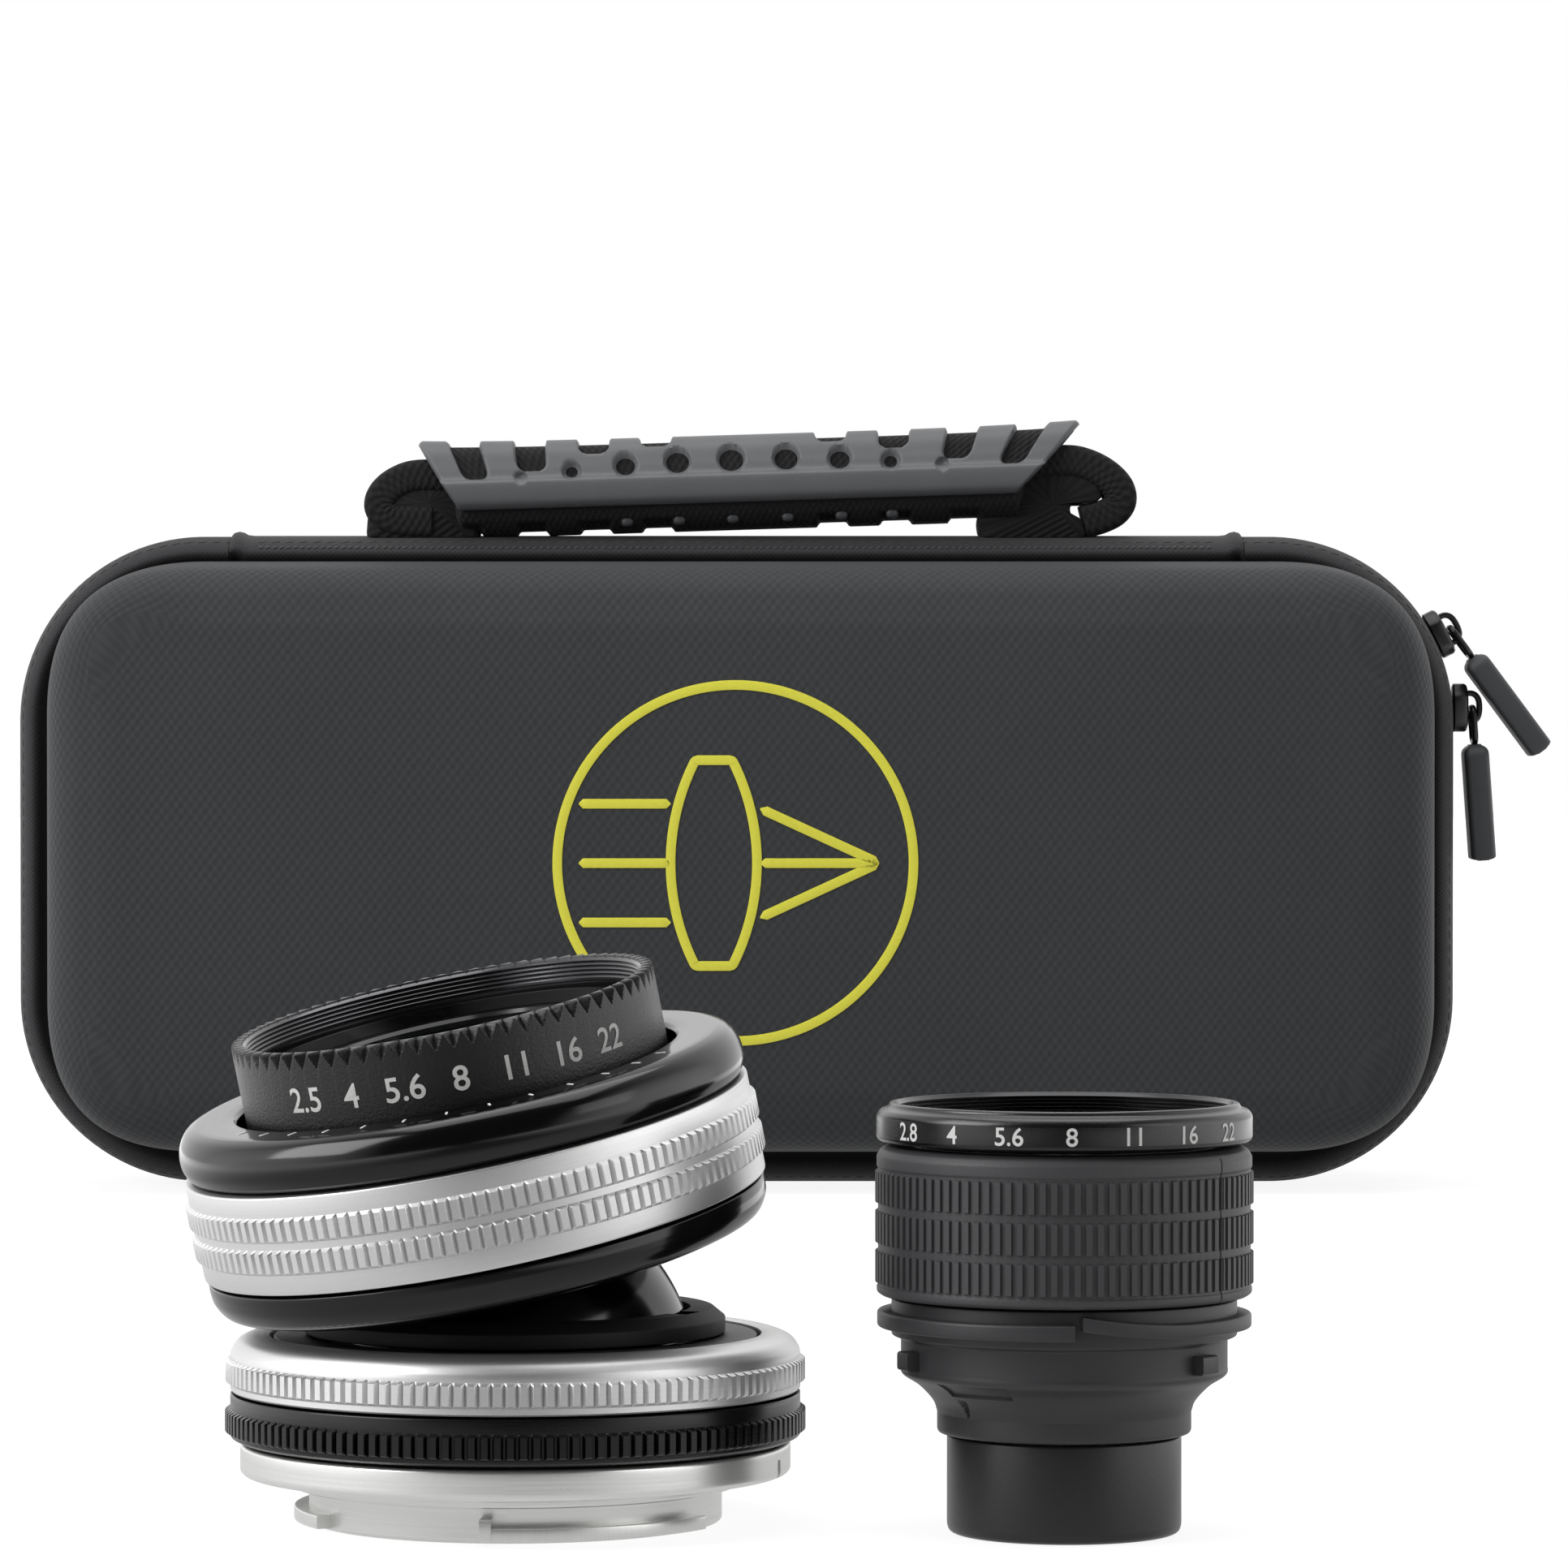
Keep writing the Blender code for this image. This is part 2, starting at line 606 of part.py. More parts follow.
def make_fitted_optic(stuff, optic):
    """Barrel with bayonet lugs, glass, iris and the scalloped front ring."""
    barrel = turned(
        "optic_barrel",
        (
            (11.7, 3.5), (12.2, 3.2), (13.1, 4.2), (13.1, 14.2), (14.6, 16.4), (18.2, 19.2), (19.2, 24.0),
            (19.2, 31.0), (21.0, 31.0), (21.0, 37.4), (17.5, 37.4), (17.5, 31.6), (15.5, 31.6), (15.5, 26.4),
            (16.9, 26.4), (16.9, 20.0), (12.2, 15.6), (11.7, 14.4),
        ),
        GLASS_STEPS + 4, stuff["black"], optic,
    )
    lugs = [arc_bar(18.6, 21.4, 24.8, 27.0, span, 4) for span in OPTIC_LUGS]
    combine(barrel, make_tool("optic_lugs", lugs, stuff["black"], optic), "UNION")
    turned(
        "front_element",
        ((0.0, 31.9), (9.0, 32.2), (17.0, 32.6), (17.0, 34.0), (12.0, 35.8), (6.0, 36.7), (0.0, 37.0)),
        GLASS_STEPS, stuff["glass"], optic,
    )
    turned(
        "rear_element",
        ((0.0, 4.4), (6.0, 4.8), (11.2, 5.8), (11.2, 7.6), (6.0, 8.4), (0.0, 8.7)),
        GLASS_STEPS, stuff["glass"], optic,
    )
    turned(
        "front_retainer",
        ((15.9, 37.7), (20.9, 37.7), (20.9, 39.8), (15.9, 38.4)),
        GLASS_STEPS + 4, stuff["matte"], optic,
    )
    turned(
        "aperture_ring",
        (
            (21.5, 31.2), (24.0, 31.2), (24.2, 31.6), (24.2, 41.6), (24.2, 41.6, 0.4), (24.0, 43.0, 0.5),
            (22.6, 43.0), (22.4, 40.4), (21.5, 40.0),
        ),
        INNER_STEPS, stuff["grain"], add_pivot("aperture_axis", optic),
    )
    make_iris(stuff, optic)


def make_iris(stuff, optic):
    """Curved blades, each on its own pin and its own level."""
    for k in range(BLADES):
        turn = 2.0 * math.pi * k / BLADES
        level = BLADE_LEVEL + BLADE_PITCH * k
        pin = (BLADE_PIN * math.cos(turn), BLADE_PIN * math.sin(turn), level)
        edge = []
        for radius, order in ((15.9, range(7)), (12.4, range(6, -1, -1))):
            for i in order:
                angle = turn + math.radians(-4.0 + 80.0 * i / 6.0)
                edge.append((radius * math.cos(angle), radius * math.sin(angle)))
        loops = [[(x, y, z) for x, y in edge] for z in (level, level + 0.26)]
        make_body(f"iris_blade_{k + 1}", loops, stuff["matte"], add_pivot(f"blade_axis_{k + 1}", optic, pin))


def make_lens(stuff):
    """The tilt lens, standing on its mount with its head leaning to the left and to the viewer."""
    frame = add_pivot("lens_frame", at=(*LENS_AT, 0.0), frame_at=(0.0, 0.0, 0.0))
    make_lens_base(stuff, frame)
    swivel = add_pivot("swivel_axis", frame)
    make_liner(stuff, swivel)
    lean = Vector((-math.tan(math.radians(LEAN_LEFT)), -math.tan(math.radians(LEAN_FORWARD)), 1.0))
    turn = Vector((0.0, 0.0, 1.0)).rotation_difference(lean)
    head = add_pivot("head_axis", swivel, (0.0, 0.0, BALL_HEIGHT), turn, (0.0, 0.0, 0.0))
    make_head(stuff, head)


def make_loose_optic(stuff):
    """The second optic, standing on its rear barrel."""
    frame = add_pivot("optic_frame", at=(*OPTIC_AT, 0.0), frame_at=(0.0, 0.0, 0.0))
    turned(
        "rear_barrel",
        ((11.7, 0.0), (12.3, 0.0), (12.9, 0.3), (13.1, 1.0), (13.1, 10.95), (11.7, 10.95)),
        INNER_STEPS, stuff["graphite"], frame,
    )
    turned(
        "loose_rear_element",
        ((0.0, 1.4), (6.0, 1.8), (11.2, 2.8), (11.2, 4.6), (6.0, 5.4), (0.0, 5.7)),
        GLASS_STEPS, stuff["glass"], frame,
    )
    body = turned(
        "bayonet_body",
        (
            (12.0, 11.25), (14.0, 11.25), (14.2, 11.6), (14.2, 13.7), (14.9, 14.6), (16.4, 16.2),
            (18.24, 18.2), (18.24, 21.8), (19.3, 22.2), (19.3, 26.3), (16.9, 26.3), (16.9, 19.2), (12.0, 15.4),
        ),
        INNER_STEPS, stuff["graphite"], frame,
    )
    extras = []
    for i, span in enumerate(RAMPS):
        extras.append(arc_bar(18.0, 20.9, 22.4, 24.2 - 0.5 * i, span, 10, 0.7 * i))
    for angle in PEG_ANGLES:
        extras.append(arc_bar(17.5, 19.5, 18.2, 19.9, (angle - 4.2, angle + 4.2), 2))
    combine(body, make_tool("bayonet_ramps", extras, stuff["graphite"], frame), "UNION")

    slide = add_pivot("macro_axis", frame)
    turned(
        "inner_tube",
        ((15.2, 19.8), (16.4, 19.8), (16.4, 43.0), (15.2, 43.0)),
        GLASS_STEPS + 4, stuff["black"], slide,
    )
    rows = []
    for low, high in ((28.0, 31.6), (32.5, 36.1), (37.0, 40.6)):
        rows += [(20.6, low), (21.1, low, 0.5), (21.1, high, 0.5), (20.6, high)]
    turned(
        "grip_sleeve",
        [(16.8, 26.6), (20.0, 26.6), *rows, (20.6, 42.0), (20.0, 42.6), (19.4, 43.3), (16.8, 43.3)],
        INNER_STEPS, stuff["rubber"], slide,
    )
    turned(
        "loose_front_element",
        ((0.0, 36.6), (8.0, 37.0), (14.9, 38.2), (14.9, 39.8), (10.0, 41.3), (5.0, 42.0), (0.0, 42.2)),
        GLASS_STEPS, stuff["glass"], slide,
    )
    turned(
        "loose_retainer",
        ((14.4, 43.3), (16.4, 43.3), (16.4, 44.6), (14.4, 44.0)),
        GLASS_STEPS + 4, stuff["matte"], slide,
    )
    turned(
        "loose_front_ring",
        (
            (17.0, 43.8), (20.6, 43.8), (21.0, 44.2), (21.0, 46.8), (20.6, 47.6), (19.7, 48.1),
            (19.5, 48.6), (18.7, 48.6), (18.5, 45.2), (17.0, 44.8),
        ),
        INNER_STEPS, stuff["graphite"], add_pivot("loose_aperture_axis", slide),
    )


def make_stuff():
    """Materials by use."""
    return {
        "twill": make_material("charcoal twill", (0.040, 0.041, 0.043), 0.85),
        "foam": make_material("black foam", (0.018, 0.018, 0.020), 0.95),
        "tape": make_material("black tape", (0.016, 0.016, 0.017), 0.80),
        "coil": make_material("zip coil", (0.020, 0.020, 0.021), 0.45),
        "webbing": make_material("black webbing", (0.011, 0.011, 0.012), 0.85),
        "grip": make_material("grey rubber", (0.100, 0.100, 0.102), 0.70),
        "slider": make_material("dark zip metal", (0.060, 0.060, 0.062), 0.35, 1.0),
        "chrome": make_material("chromed brass", (0.620, 0.620, 0.610), 0.18, 1.0),
        "silver": make_material("satin silver", (0.520, 0.520, 0.520), 0.32, 1.0),
        "black": make_material("black anodised", (0.012, 0.012, 0.013), 0.38, 0.3),
        "gloss": make_material("glossy black", (0.006, 0.006, 0.007), 0.12),
        "matte": make_material("matte black", (0.018, 0.018, 0.019), 0.70),
        "grain": make_material("fine-grained black", (0.014, 0.014, 0.015), 0.55),
        "graphite": make_material("dark grey", (0.036, 0.037, 0.039), 0.42, 0.4),
        "rubber": make_material("ribbed rubber", (0.030, 0.030, 0.031), 0.60),
        "nylon": make_material("pale nylon", (0.550, 0.540, 0.500), 0.50),
        "glass": make_material("coated glass", (0.060, 0.090, 0.110), 0.03),
    }


def main():
    clear_scene()
    stuff = make_stuff()
    make_case(stuff)
    make_lens(stuff)
    make_loose_optic(stuff)
    bpy.context.view_layer.update()


if __name__ == "__main__":
    main()
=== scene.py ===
"""Looks of a camera tilt-lens set: the lens, a loose optic and their zipped case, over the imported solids."""

from __future__ import annotations

import json
import logging
import math
import sys
from collections.abc import Callable, Sequence
from dataclasses import dataclass
from enum import Enum

import bmesh
import bpy
import numpy as np
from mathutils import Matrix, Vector

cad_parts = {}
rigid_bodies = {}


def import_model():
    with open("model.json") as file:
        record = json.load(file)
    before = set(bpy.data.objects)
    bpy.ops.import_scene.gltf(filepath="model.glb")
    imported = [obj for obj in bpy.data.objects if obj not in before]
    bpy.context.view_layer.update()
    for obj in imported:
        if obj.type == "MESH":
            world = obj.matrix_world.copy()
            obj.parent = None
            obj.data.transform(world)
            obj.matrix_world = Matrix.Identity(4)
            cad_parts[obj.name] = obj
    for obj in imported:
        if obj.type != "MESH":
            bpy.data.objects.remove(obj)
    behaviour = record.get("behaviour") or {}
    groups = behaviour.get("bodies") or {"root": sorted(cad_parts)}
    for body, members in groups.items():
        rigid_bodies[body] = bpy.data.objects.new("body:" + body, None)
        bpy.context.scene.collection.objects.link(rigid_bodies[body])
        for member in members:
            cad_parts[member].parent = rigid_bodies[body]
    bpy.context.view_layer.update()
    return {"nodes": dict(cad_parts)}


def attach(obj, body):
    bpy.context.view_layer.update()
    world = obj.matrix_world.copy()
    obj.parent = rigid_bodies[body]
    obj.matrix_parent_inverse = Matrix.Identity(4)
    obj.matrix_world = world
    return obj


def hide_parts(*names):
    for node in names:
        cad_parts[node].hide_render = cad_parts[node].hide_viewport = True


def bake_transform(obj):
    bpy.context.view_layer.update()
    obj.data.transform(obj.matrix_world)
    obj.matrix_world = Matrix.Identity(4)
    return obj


LOG = logging.getLogger("lens_set")
MM = 0.001
FULL_TURN = 2.0 * math.pi
FLAT_MAP = "flat"

# In metres: points this close are welded, thinner faces go, and a solid's own points this close are welded
WELD = 2e-7
SLIVER = 1e-8
SOLID_WELD = 1e-6

# How far a print stands off its ring in millimetres, and how much bolder than the plain font it is
PRINT_LIFT = 0.05
PRINT_BOLD = 0.012

# Places of the three things on the floor, in millimetres
LENS_AT = (-29.92, -269.28, 0.0)
OPTIC_AT = (31.83, -281.28, 0.0)
CASE_AT = np.array([-8.47, 266.72, 0.0])

# Middle of the ball, and the way that the head leans
BALL_HEIGHT = 16.8
BALL_AT = (*LENS_AT[:2], BALL_HEIGHT)
HEAD_LEAN = (-math.tan(math.radians(11.0)), -math.tan(math.radians(6.0)), 1.0)

# How a node that maps one range to another names its inputs
RAMP = ("Value", "From Min", "From Max", "To Min", "To Max")

# Corners in fields are (radius, height) on turned pieces and (inset, depth) on the case, unless a method says
# otherwise. A section is near, far, low, high and the cut of its corners.
Array = np.ndarray
Pair = tuple[Array, Array]
Bend = Callable[[Array, Array, Array], Pair]
Span = tuple[float, float]
Spans = tuple[Span, ...]
Triple = tuple[float, float, float]
Four = tuple[float, float, float, float]
Sizes = tuple[float, ...]
Glass = tuple[float, Span, Span]
Points = Sequence[Sequence[float]]
Tree = bpy.types.NodeTree
Node = bpy.types.Node
Socket = bpy.types.NodeSocket
Piece = bpy.types.Object


class Slot(str, Enum):
    """The record's material slots."""

    TWILL = "twill"
    FOAM = "foam"
    TAPE = "tape"
    COIL = "coil"
    WEBBING = "webbing"
    GRIP = "grip"
    ZIP_METAL = "zip_metal"
    CHROME = "chrome"
    SILVER = "silver"
    BLACK = "black"
    GLOSS = "gloss"
    MATTE = "matte"
    GRAIN = "grain"
    GRAPHITE = "graphite"
    RIB_RUBBER = "rib_rubber"
    NYLON = "nylon"
    GLASS = "glass"


class Half(Enum):
    """The two halves of the case, with the side of the parting plane that each is on."""

    LID = -1.0
    REAR = 1.0


class Crease(float, Enum):
    """Edges that turn by more than this many degrees stay sharp."""

    THREAD = 20.0
    NOTCH = 24.0
    GLASS = 30.0
    METAL = 38.0
    CLOTH = 50.0
    MOULD = 60.0
    WIRE = 70.0
    NONE = 180.0


# Curves and surfaces


def spline(points: Points, steps: int) -> Array:
    """Smooth curve through points: each leg is a cubic whose end slopes are half the chord across it.

    Args:
        points: Points to pass through.
        steps: Samples on each leg.

    Returns:
        The samples, first and last point included.
    """
    p = np.asarray(points, float)
    p = np.vstack([2 * p[0] - p[1], p, 2 * p[-1] - p[-2]])
    t = np.linspace(0.0, 1.0, steps, endpoint=False)[:, None, None]
    a, b, c, d = p[:-3], p[1:-2], p[2:-1], p[3:]
    legs = 0.5 * (2 * b + (c - a) * t + (2 * a - 5 * b + 4 * c - d) * t**2 + (3 * b - a - 3 * c + d) * t**3)
    return np.vstack([legs.transpose(1, 0, 2).reshape(-1, p.shape[1]), p[-2:-1]])


def rounded(points: Points, cut: float, steps: int = 4, closed: bool = True) -> Array:
    """Rounds a polygon's corners: each becomes a parabola between points a cut away along its two edges.

    Args:
        points: Corners in order.
        cut: Length taken from each edge, at most 0.45 of the edge.
        steps: Samples on each corner.
        closed: Whether the last corner joins the first; if not, the two ends stay sharp.

    Returns:
        The samples in order.
    """
    p = np.asarray(points, float)
    back, ahead = np.roll(p, 1, 0) - p, np.roll(p, -1, 0) - p
    back_length = np.linalg.norm(back, axis=1, keepdims=True)
    ahead_length = np.linalg.norm(ahead, axis=1, keepdims=True)
    trim = np.minimum(cut, 0.45 * np.minimum(back_length, ahead_length))
    start, end = p + back / back_length * trim, p + ahead / ahead_length * trim
    t = np.linspace(0.0, 1.0, steps)[None, :, None]
    curve = (1 - t) ** 2 * start[:, None] + 2 * t * (1 - t) * p[:, None] + t**2 * end[:, None]
    if not closed:
        curve[0], curve[-1] = p[0], p[-1]
    return curve.reshape(-1, p.shape[1])


def turns(count: int, extra: Sequence[float] = ()) -> Array:
    """Even angles round a full turn in radians, with extra ones given in degrees put in order."""
    more = np.radians(np.asarray(extra, float)) % FULL_TURN
    return np.unique(np.concatenate([np.arange(count) * FULL_TURN / count, more]))


def ends_of(spans: Spans) -> list[float]:
    """Angles in degrees just before and after each end of the spans, so that a cut there has steep sides."""
    return [end + step for span in spans for end in span for step in (-0.1, 0.1)]


def within(angle: Array, spans: Spans) -> Array:
    """Which angles in radians are inside any of the spans in degrees."""
    return np.any([(np.degrees(angle) > low) & (np.degrees(angle) < high) for low, high in spans], axis=0)


def with_levels(profile: Array, levels: Array) -> Array:
    """Adds points to a closed profile's tallest outer wall, one at each level.

    Args:
        profile: Points as (radius, height).
        levels: Heights on that wall.

    Returns:
        The profile with the points put in.
    """
    after = np.roll(profile, -1, 0)
    outer = (profile[:, 0] + after[:, 0]) / 2.0 > profile[:, 0].mean()
    k = int(np.argmax(np.abs(after[:, 1] - profile[:, 1]) * outer))
    share = np.sort((levels - profile[k, 1]) / (after[k, 1] - profile[k, 1]))
    share = share[(share > 0.001) & (share < 0.999)]
    return np.insert(profile, k + 1, profile[k] + share[:, None] * (after[k] - profile[k]), axis=0)


@dataclass(frozen=True)
class Local:
    """A place with three directions, so that a point is (a, b, c) along them, in millimetres."""

    origin: Triple
    first: Triple
    second: Triple
    third: Triple

    def put(self, points: Array) -> Array:
        """Moves points from these directions to the row frame."""
        return np.asarray(self.origin) + points @ np.array([self.first, self.second, self.third])

    @classmethod
    def turned_about(cls, at: Sequence[float], axis: Sequence[float] = (0.0, 0.0, 1.0)) -> Local:
        """Directions for a turned piece: angle 90, angle 0 and the axis.

        Args:
            at: A point on the axis.
            axis: The axis; angle 0 faces the viewer, turned with the axis from upright.

        Returns:
            The place.
        """
        turn = Vector((0.0, 0.0, 1.0)).rotation_difference(Vector(axis))
        side, toward, along = (turn @ Vector(v) for v in ((1, 0, 0), (0, -1, 0), (0, 0, 1)))
        return cls(tuple(at), tuple(side), tuple(toward), tuple(along))


@dataclass
class Surface:
    """A mesh in the making: points, quads and each quad's corners on a flat map, in millimetres."""

    points: Array
    quads: Array
    flat: Array

    @classmethod
    def from_grid(cls, grid: Array, wrap: tuple[bool, bool], flat: Array | None = None) -> Surface:
        """Makes quads between neighbours on a grid of points, facing outwards if the grid closes.

        Args:
            grid: Points, rows by columns by 3.
            wrap: Whether the last row joins the first, and the last column the first.
            flat: Map positions, with one more row or column where the grid wraps.

        Returns:
            The surface.
        """
        rows, columns = grid.shape[:2]
        r, c = np.meshgrid(np.arange(rows - 1 + wrap[0]), np.arange(columns - 1 + wrap[1]), indexing="ij")
        corners = ((r, c), (r, c + 1), (r + 1, c + 1), (r + 1, c))
        quads = np.stack([(i % rows) * columns + j % columns for i, j in corners], -1).reshape(-1, 4)
        if flat is None:
            steps_r, steps_c = np.meshgrid(np.arange(rows + 1.0), np.arange(columns + 1.0), indexing="ij")
            flat = np.stack([steps_c, steps_r], -1)
        corner_flat = np.stack([flat[i, j] for i, j in corners], -2).reshape(-1, 4, 2)
        points = grid.reshape(-1, 3)
        a, b, c3, d = (points[quads[:, k]] - points.mean(0) for k in range(4))
        volume = np.sum(a * np.cross(b, c3)) + np.sum(a * np.cross(c3, d))
        if volume < 0.0:
            quads, corner_flat = quads[:, ::-1], corner_flat[:, ::-1]
        return cls(points, quads, corner_flat)

    @classmethod
    def tube(cls, grid: Array, flat: Array | None = None) -> Surface:
        """Joins rows of points, each a ring, into a tube with closed ends; the map has a row more at each."""
        ends = [np.broadcast_to(grid[k].mean(0), grid[k].shape)[None] for k in (0, -1)]
        return cls.from_grid(np.concatenate([ends[0], grid, ends[1]]), (False, True), flat)

    def plus(self, *others: Surface) -> Surface:
        """Joins this surface and others without welding them.

        Args:
            others: The other surfaces.

        Returns:
            All of them as one.
        """
        parts = (self, *others)
        starts = np.cumsum([0, *(len(part.points) for part in parts[:-1])])
        return Surface(
            np.vstack([part.points for part in parts]),
            np.vstack([part.quads + start for part, start in zip(parts, starts)]),
            np.concatenate([part.flat for part in parts]),
        )

    def to_piece(self, name: str, crease: float = Crease.METAL) -> Piece:
        """Makes the object, with poles and seams welded.

        Args:
            name: Its name.
            crease: Edges that turn by more than this many degrees stay sharp.

        Returns:
            The object, at the origin, with its place in its mesh.
        """
        mesh = bpy.data.meshes.new(name)
        mesh.vertices.add(len(self.points))
        mesh.vertices.foreach_set("co", (self.points * MM).astype(np.float32).ravel())
        mesh.loops.add(self.quads.size)
        mesh.loops.foreach_set("vertex_index", self.quads.astype(np.int32).ravel())
        mesh.polygons.add(len(self.quads))
        mesh.polygons.foreach_set("loop_start", np.arange(0, self.quads.size, 4, dtype=np.int32))
        mesh.update(calc_edges=True)
        mesh.uv_layers.new(name=FLAT_MAP).data.foreach_set("uv", self.flat.astype(np.float32).ravel())
        return finish_mesh(name, mesh, crease)

    def show(
        self, name: str, finish: Finish, body: str, nodes: Sequence[str] = (), slot: Slot | None = None,
        crease: float = Crease.METAL,
    ) -> None:
        """Makes the object, gives it its finish and sets it on its body."""
        dress(self.to_piece(name, crease), finish, body, nodes)


def finish_mesh(name: str, mesh: bpy.types.Mesh, crease: float) -> Piece:
    """Welds a mesh, shades it smooth up to a crease angle and links it as an object.

    Args:
        name: Name of the object.
        mesh: The mesh.
        crease: Edges that turn by more than this many degrees stay sharp.

    Returns:
        The object.
    """
    bm = bmesh.new()
    bm.from_mesh(mesh)
    bmesh.ops.remove_doubles(bm, verts=bm.verts, dist=WELD)
    bmesh.ops.dissolve_degenerate(bm, edges=bm.edges, dist=SLIVER)
    bm.to_mesh(mesh)
    bm.free()
    mesh.shade_smooth()
    mesh.set_sharp_from_angle(angle=math.radians(crease))
    piece = bpy.data.objects.new(name, mesh)
    bpy.context.scene.collection.objects.link(piece)
    return piece


def unit(vectors: Array) -> Array:
    """The rows of an array, each scaled to length 1."""
    return vectors / np.linalg.norm(vectors, axis=1, keepdims=True)


def lengths(points: Array) -> Array:
    """Distance of each point from the first along the polyline through them."""
    return np.concatenate([[0.0], np.cumsum(np.linalg.norm(np.diff(points, axis=0), axis=1))])


def lathe(
    place: Local, profile: Array, angles: Array, bend: Bend | None = None, closed: bool = True
) -> Surface:
    """Carries a profile round an axis: a point is its radius times its angle's sine and cosine.

    Args:
        place: Where the axis stands.
        profile: Points as (radius, height).
        angles: Angles in radians, in order.
        bend: Changes the grids of radius and height, given those and the angle.
        closed: Whether the profile's last point joins its first; if not, both are on the axis.

    Returns:
        The surface, whose flat map is arc length by profile length.
    """
    radius, height, angle = np.broadcast_arrays(profile[:, :1], profile[:, 1:2], angles[None, :])
    if bend:
        radius, height = bend(radius, height, angle)
    grid = place.put(np.stack([radius * np.sin(angle), radius * np.cos(angle), height], -1))
    along = lengths(np.vstack([profile, profile[:1]]))
    around = np.append(angles, angles[0] + FULL_TURN) * profile[:, 0].max()
    flat = np.stack(np.meshgrid(around, along), -1)
    return Surface.from_grid(grid, (closed, True), flat)


def arc_bar(place: Local, section: Array, span: Span, lead: float = 0.0) -> Surface:
    """Carries a section of (radius, height) round an axis between two angles, falling from a raised lead-in.

    Args:
        place: Where the axis stands.
        section: The closed section.
        span: First and last angle in degrees.
        lead: How far the near end is raised; it falls off as a square over a quarter of the span.

    Returns:
        The surface, closed at both ends.
    """
    share = np.linspace(0.0, 1.0, max(4, int(abs(span[1] - span[0]) / 2.0)))[:, None]
    angle = np.radians(span[0] + (span[1] - span[0]) * share)
    radius = section[None, :, 0]
    height = section[None, :, 1] + lead * np.clip(1.0 - 4.0 * share, 0.0, 1.0) ** 2
    grid = np.stack([radius * np.sin(angle), radius * np.cos(angle), height + 0.0 * angle], -1)
    return Surface.tube(place.put(grid))


def swept(path: Array, section: Array, closed: bool = False, taper: Array | None = None) -> Array:
    """Carries a section along a plane path: a point is the path plus off times its normal.

    Args:
        path: Points in the plane.
        section: Points as (across, off).
        closed: Whether the path's last point joins its first.
        taper: Factor on off for each path point.

    Returns:
        Grid of (path first, across, path second), one row for each path point.
    """
    if closed:
        slope = np.roll(path, -1, 0) - np.roll(path, 1, 0)
    else:
        slope = np.gradient(path, axis=0)
    slope = unit(slope)
    factor = np.ones(len(path)) if taper is None else taper
    off = section[None, :, 1] * factor[:, None]
    first = path[:, None, 0] - slope[:, None, 1] * off
    second = path[:, None, 1] + slope[:, None, 0] * off
    across = np.broadcast_to(section[None, :, 0], first.shape)
    return np.stack([first, across, second], -1)


def swept_flat(path: Array, section: Array, closed: bool) -> Array:
    """Flat map of a swept strip: length along the path by length round the section.

    Args:
        path: Points in the plane.
        section: Points as (across, off).
        closed: Whether the path closes; if not, its two end rows are repeated for the caps.

    Returns:
        Map positions that fit the swept grid once it is capped or wrapped.
    """
    if closed:
        along = lengths(np.vstack([path, path[:1]]))
    else:
        along = lengths(path)[np.r_[0, 0 : len(path), len(path) - 1]]
    around = lengths(np.vstack([section, section[:1]]))
    return np.stack(np.meshgrid(along, around, indexing="ij"), -1)


def oblong(near: float, far: float, low: float, high: float, cut: float, steps: int = 4) -> Array:
    """A rectangle with rounded corners: out from near to far at low, and back at high."""
    return rounded(((near, low), (far, low), (far, high), (near, high)), cut, steps)


def soft_step(value: Array) -> Array:
    """Smooth rise from 0 to 1 as the value goes from 0 to 1."""
    value = np.clip(value, 0.0, 1.0)
    return value * value * (3.0 - 2.0 * value)


def circle(radius: float, steps: int = 14) -> Array:
    """Points round a circle about its middle."""
    angle = np.arange(steps) * FULL_TURN / steps
    return radius * np.stack([np.cos(angle), np.sin(angle)], -1)


def beads(
    centres: Array, axes: Array, sizes: Sequence[float], power: float, rings: int = 7, steps: int = 10
) -> Surface:
    """Copies of a bead: an ellipsoid whose sines and cosines are raised to a power, below 1 to square it.

    Args:
        centres: Middle of each bead.
        axes: Three unit directions for each bead.
        sizes: Half sizes along those directions.
        power: 1 is an ellipsoid, and less is boxier.
        rings: Rings from pole to pole.
        steps: Points on each ring.

    Returns:
        All beads as one surface.
    """
    up = np.linspace(-math.pi / 2, math.pi / 2, rings)[:, None]
    turn = (np.arange(steps) * FULL_TURN / steps)[None, :]

    def soft(value: Array) -> Array:
        """Raises a value's size to the power and keeps its sign."""
        return np.sign(value) * np.abs(value) ** power

    ring, rise = soft(np.cos(up)), soft(np.sin(up))
    ball = np.stack(np.broadcast_arrays(ring * soft(np.cos(turn)), ring * soft(np.sin(turn)), rise), -1)
    one = Surface.from_grid(ball * np.asarray(sizes), (False, True))
    points = centres[:, None, :] + np.einsum("pk,nkj->npj", one.points, axes)
    count, size = len(centres), len(one.points)
    quads = (one.quads[None] + (np.arange(count) * size)[:, None, None]).reshape(-1, 4)
    if np.linalg.det(axes[0]) < 0.0:
        quads = quads[:, ::-1]
    return Surface(points.reshape(-1, 3), quads, np.tile(one.flat, (count, 1, 1)))


# Finishes


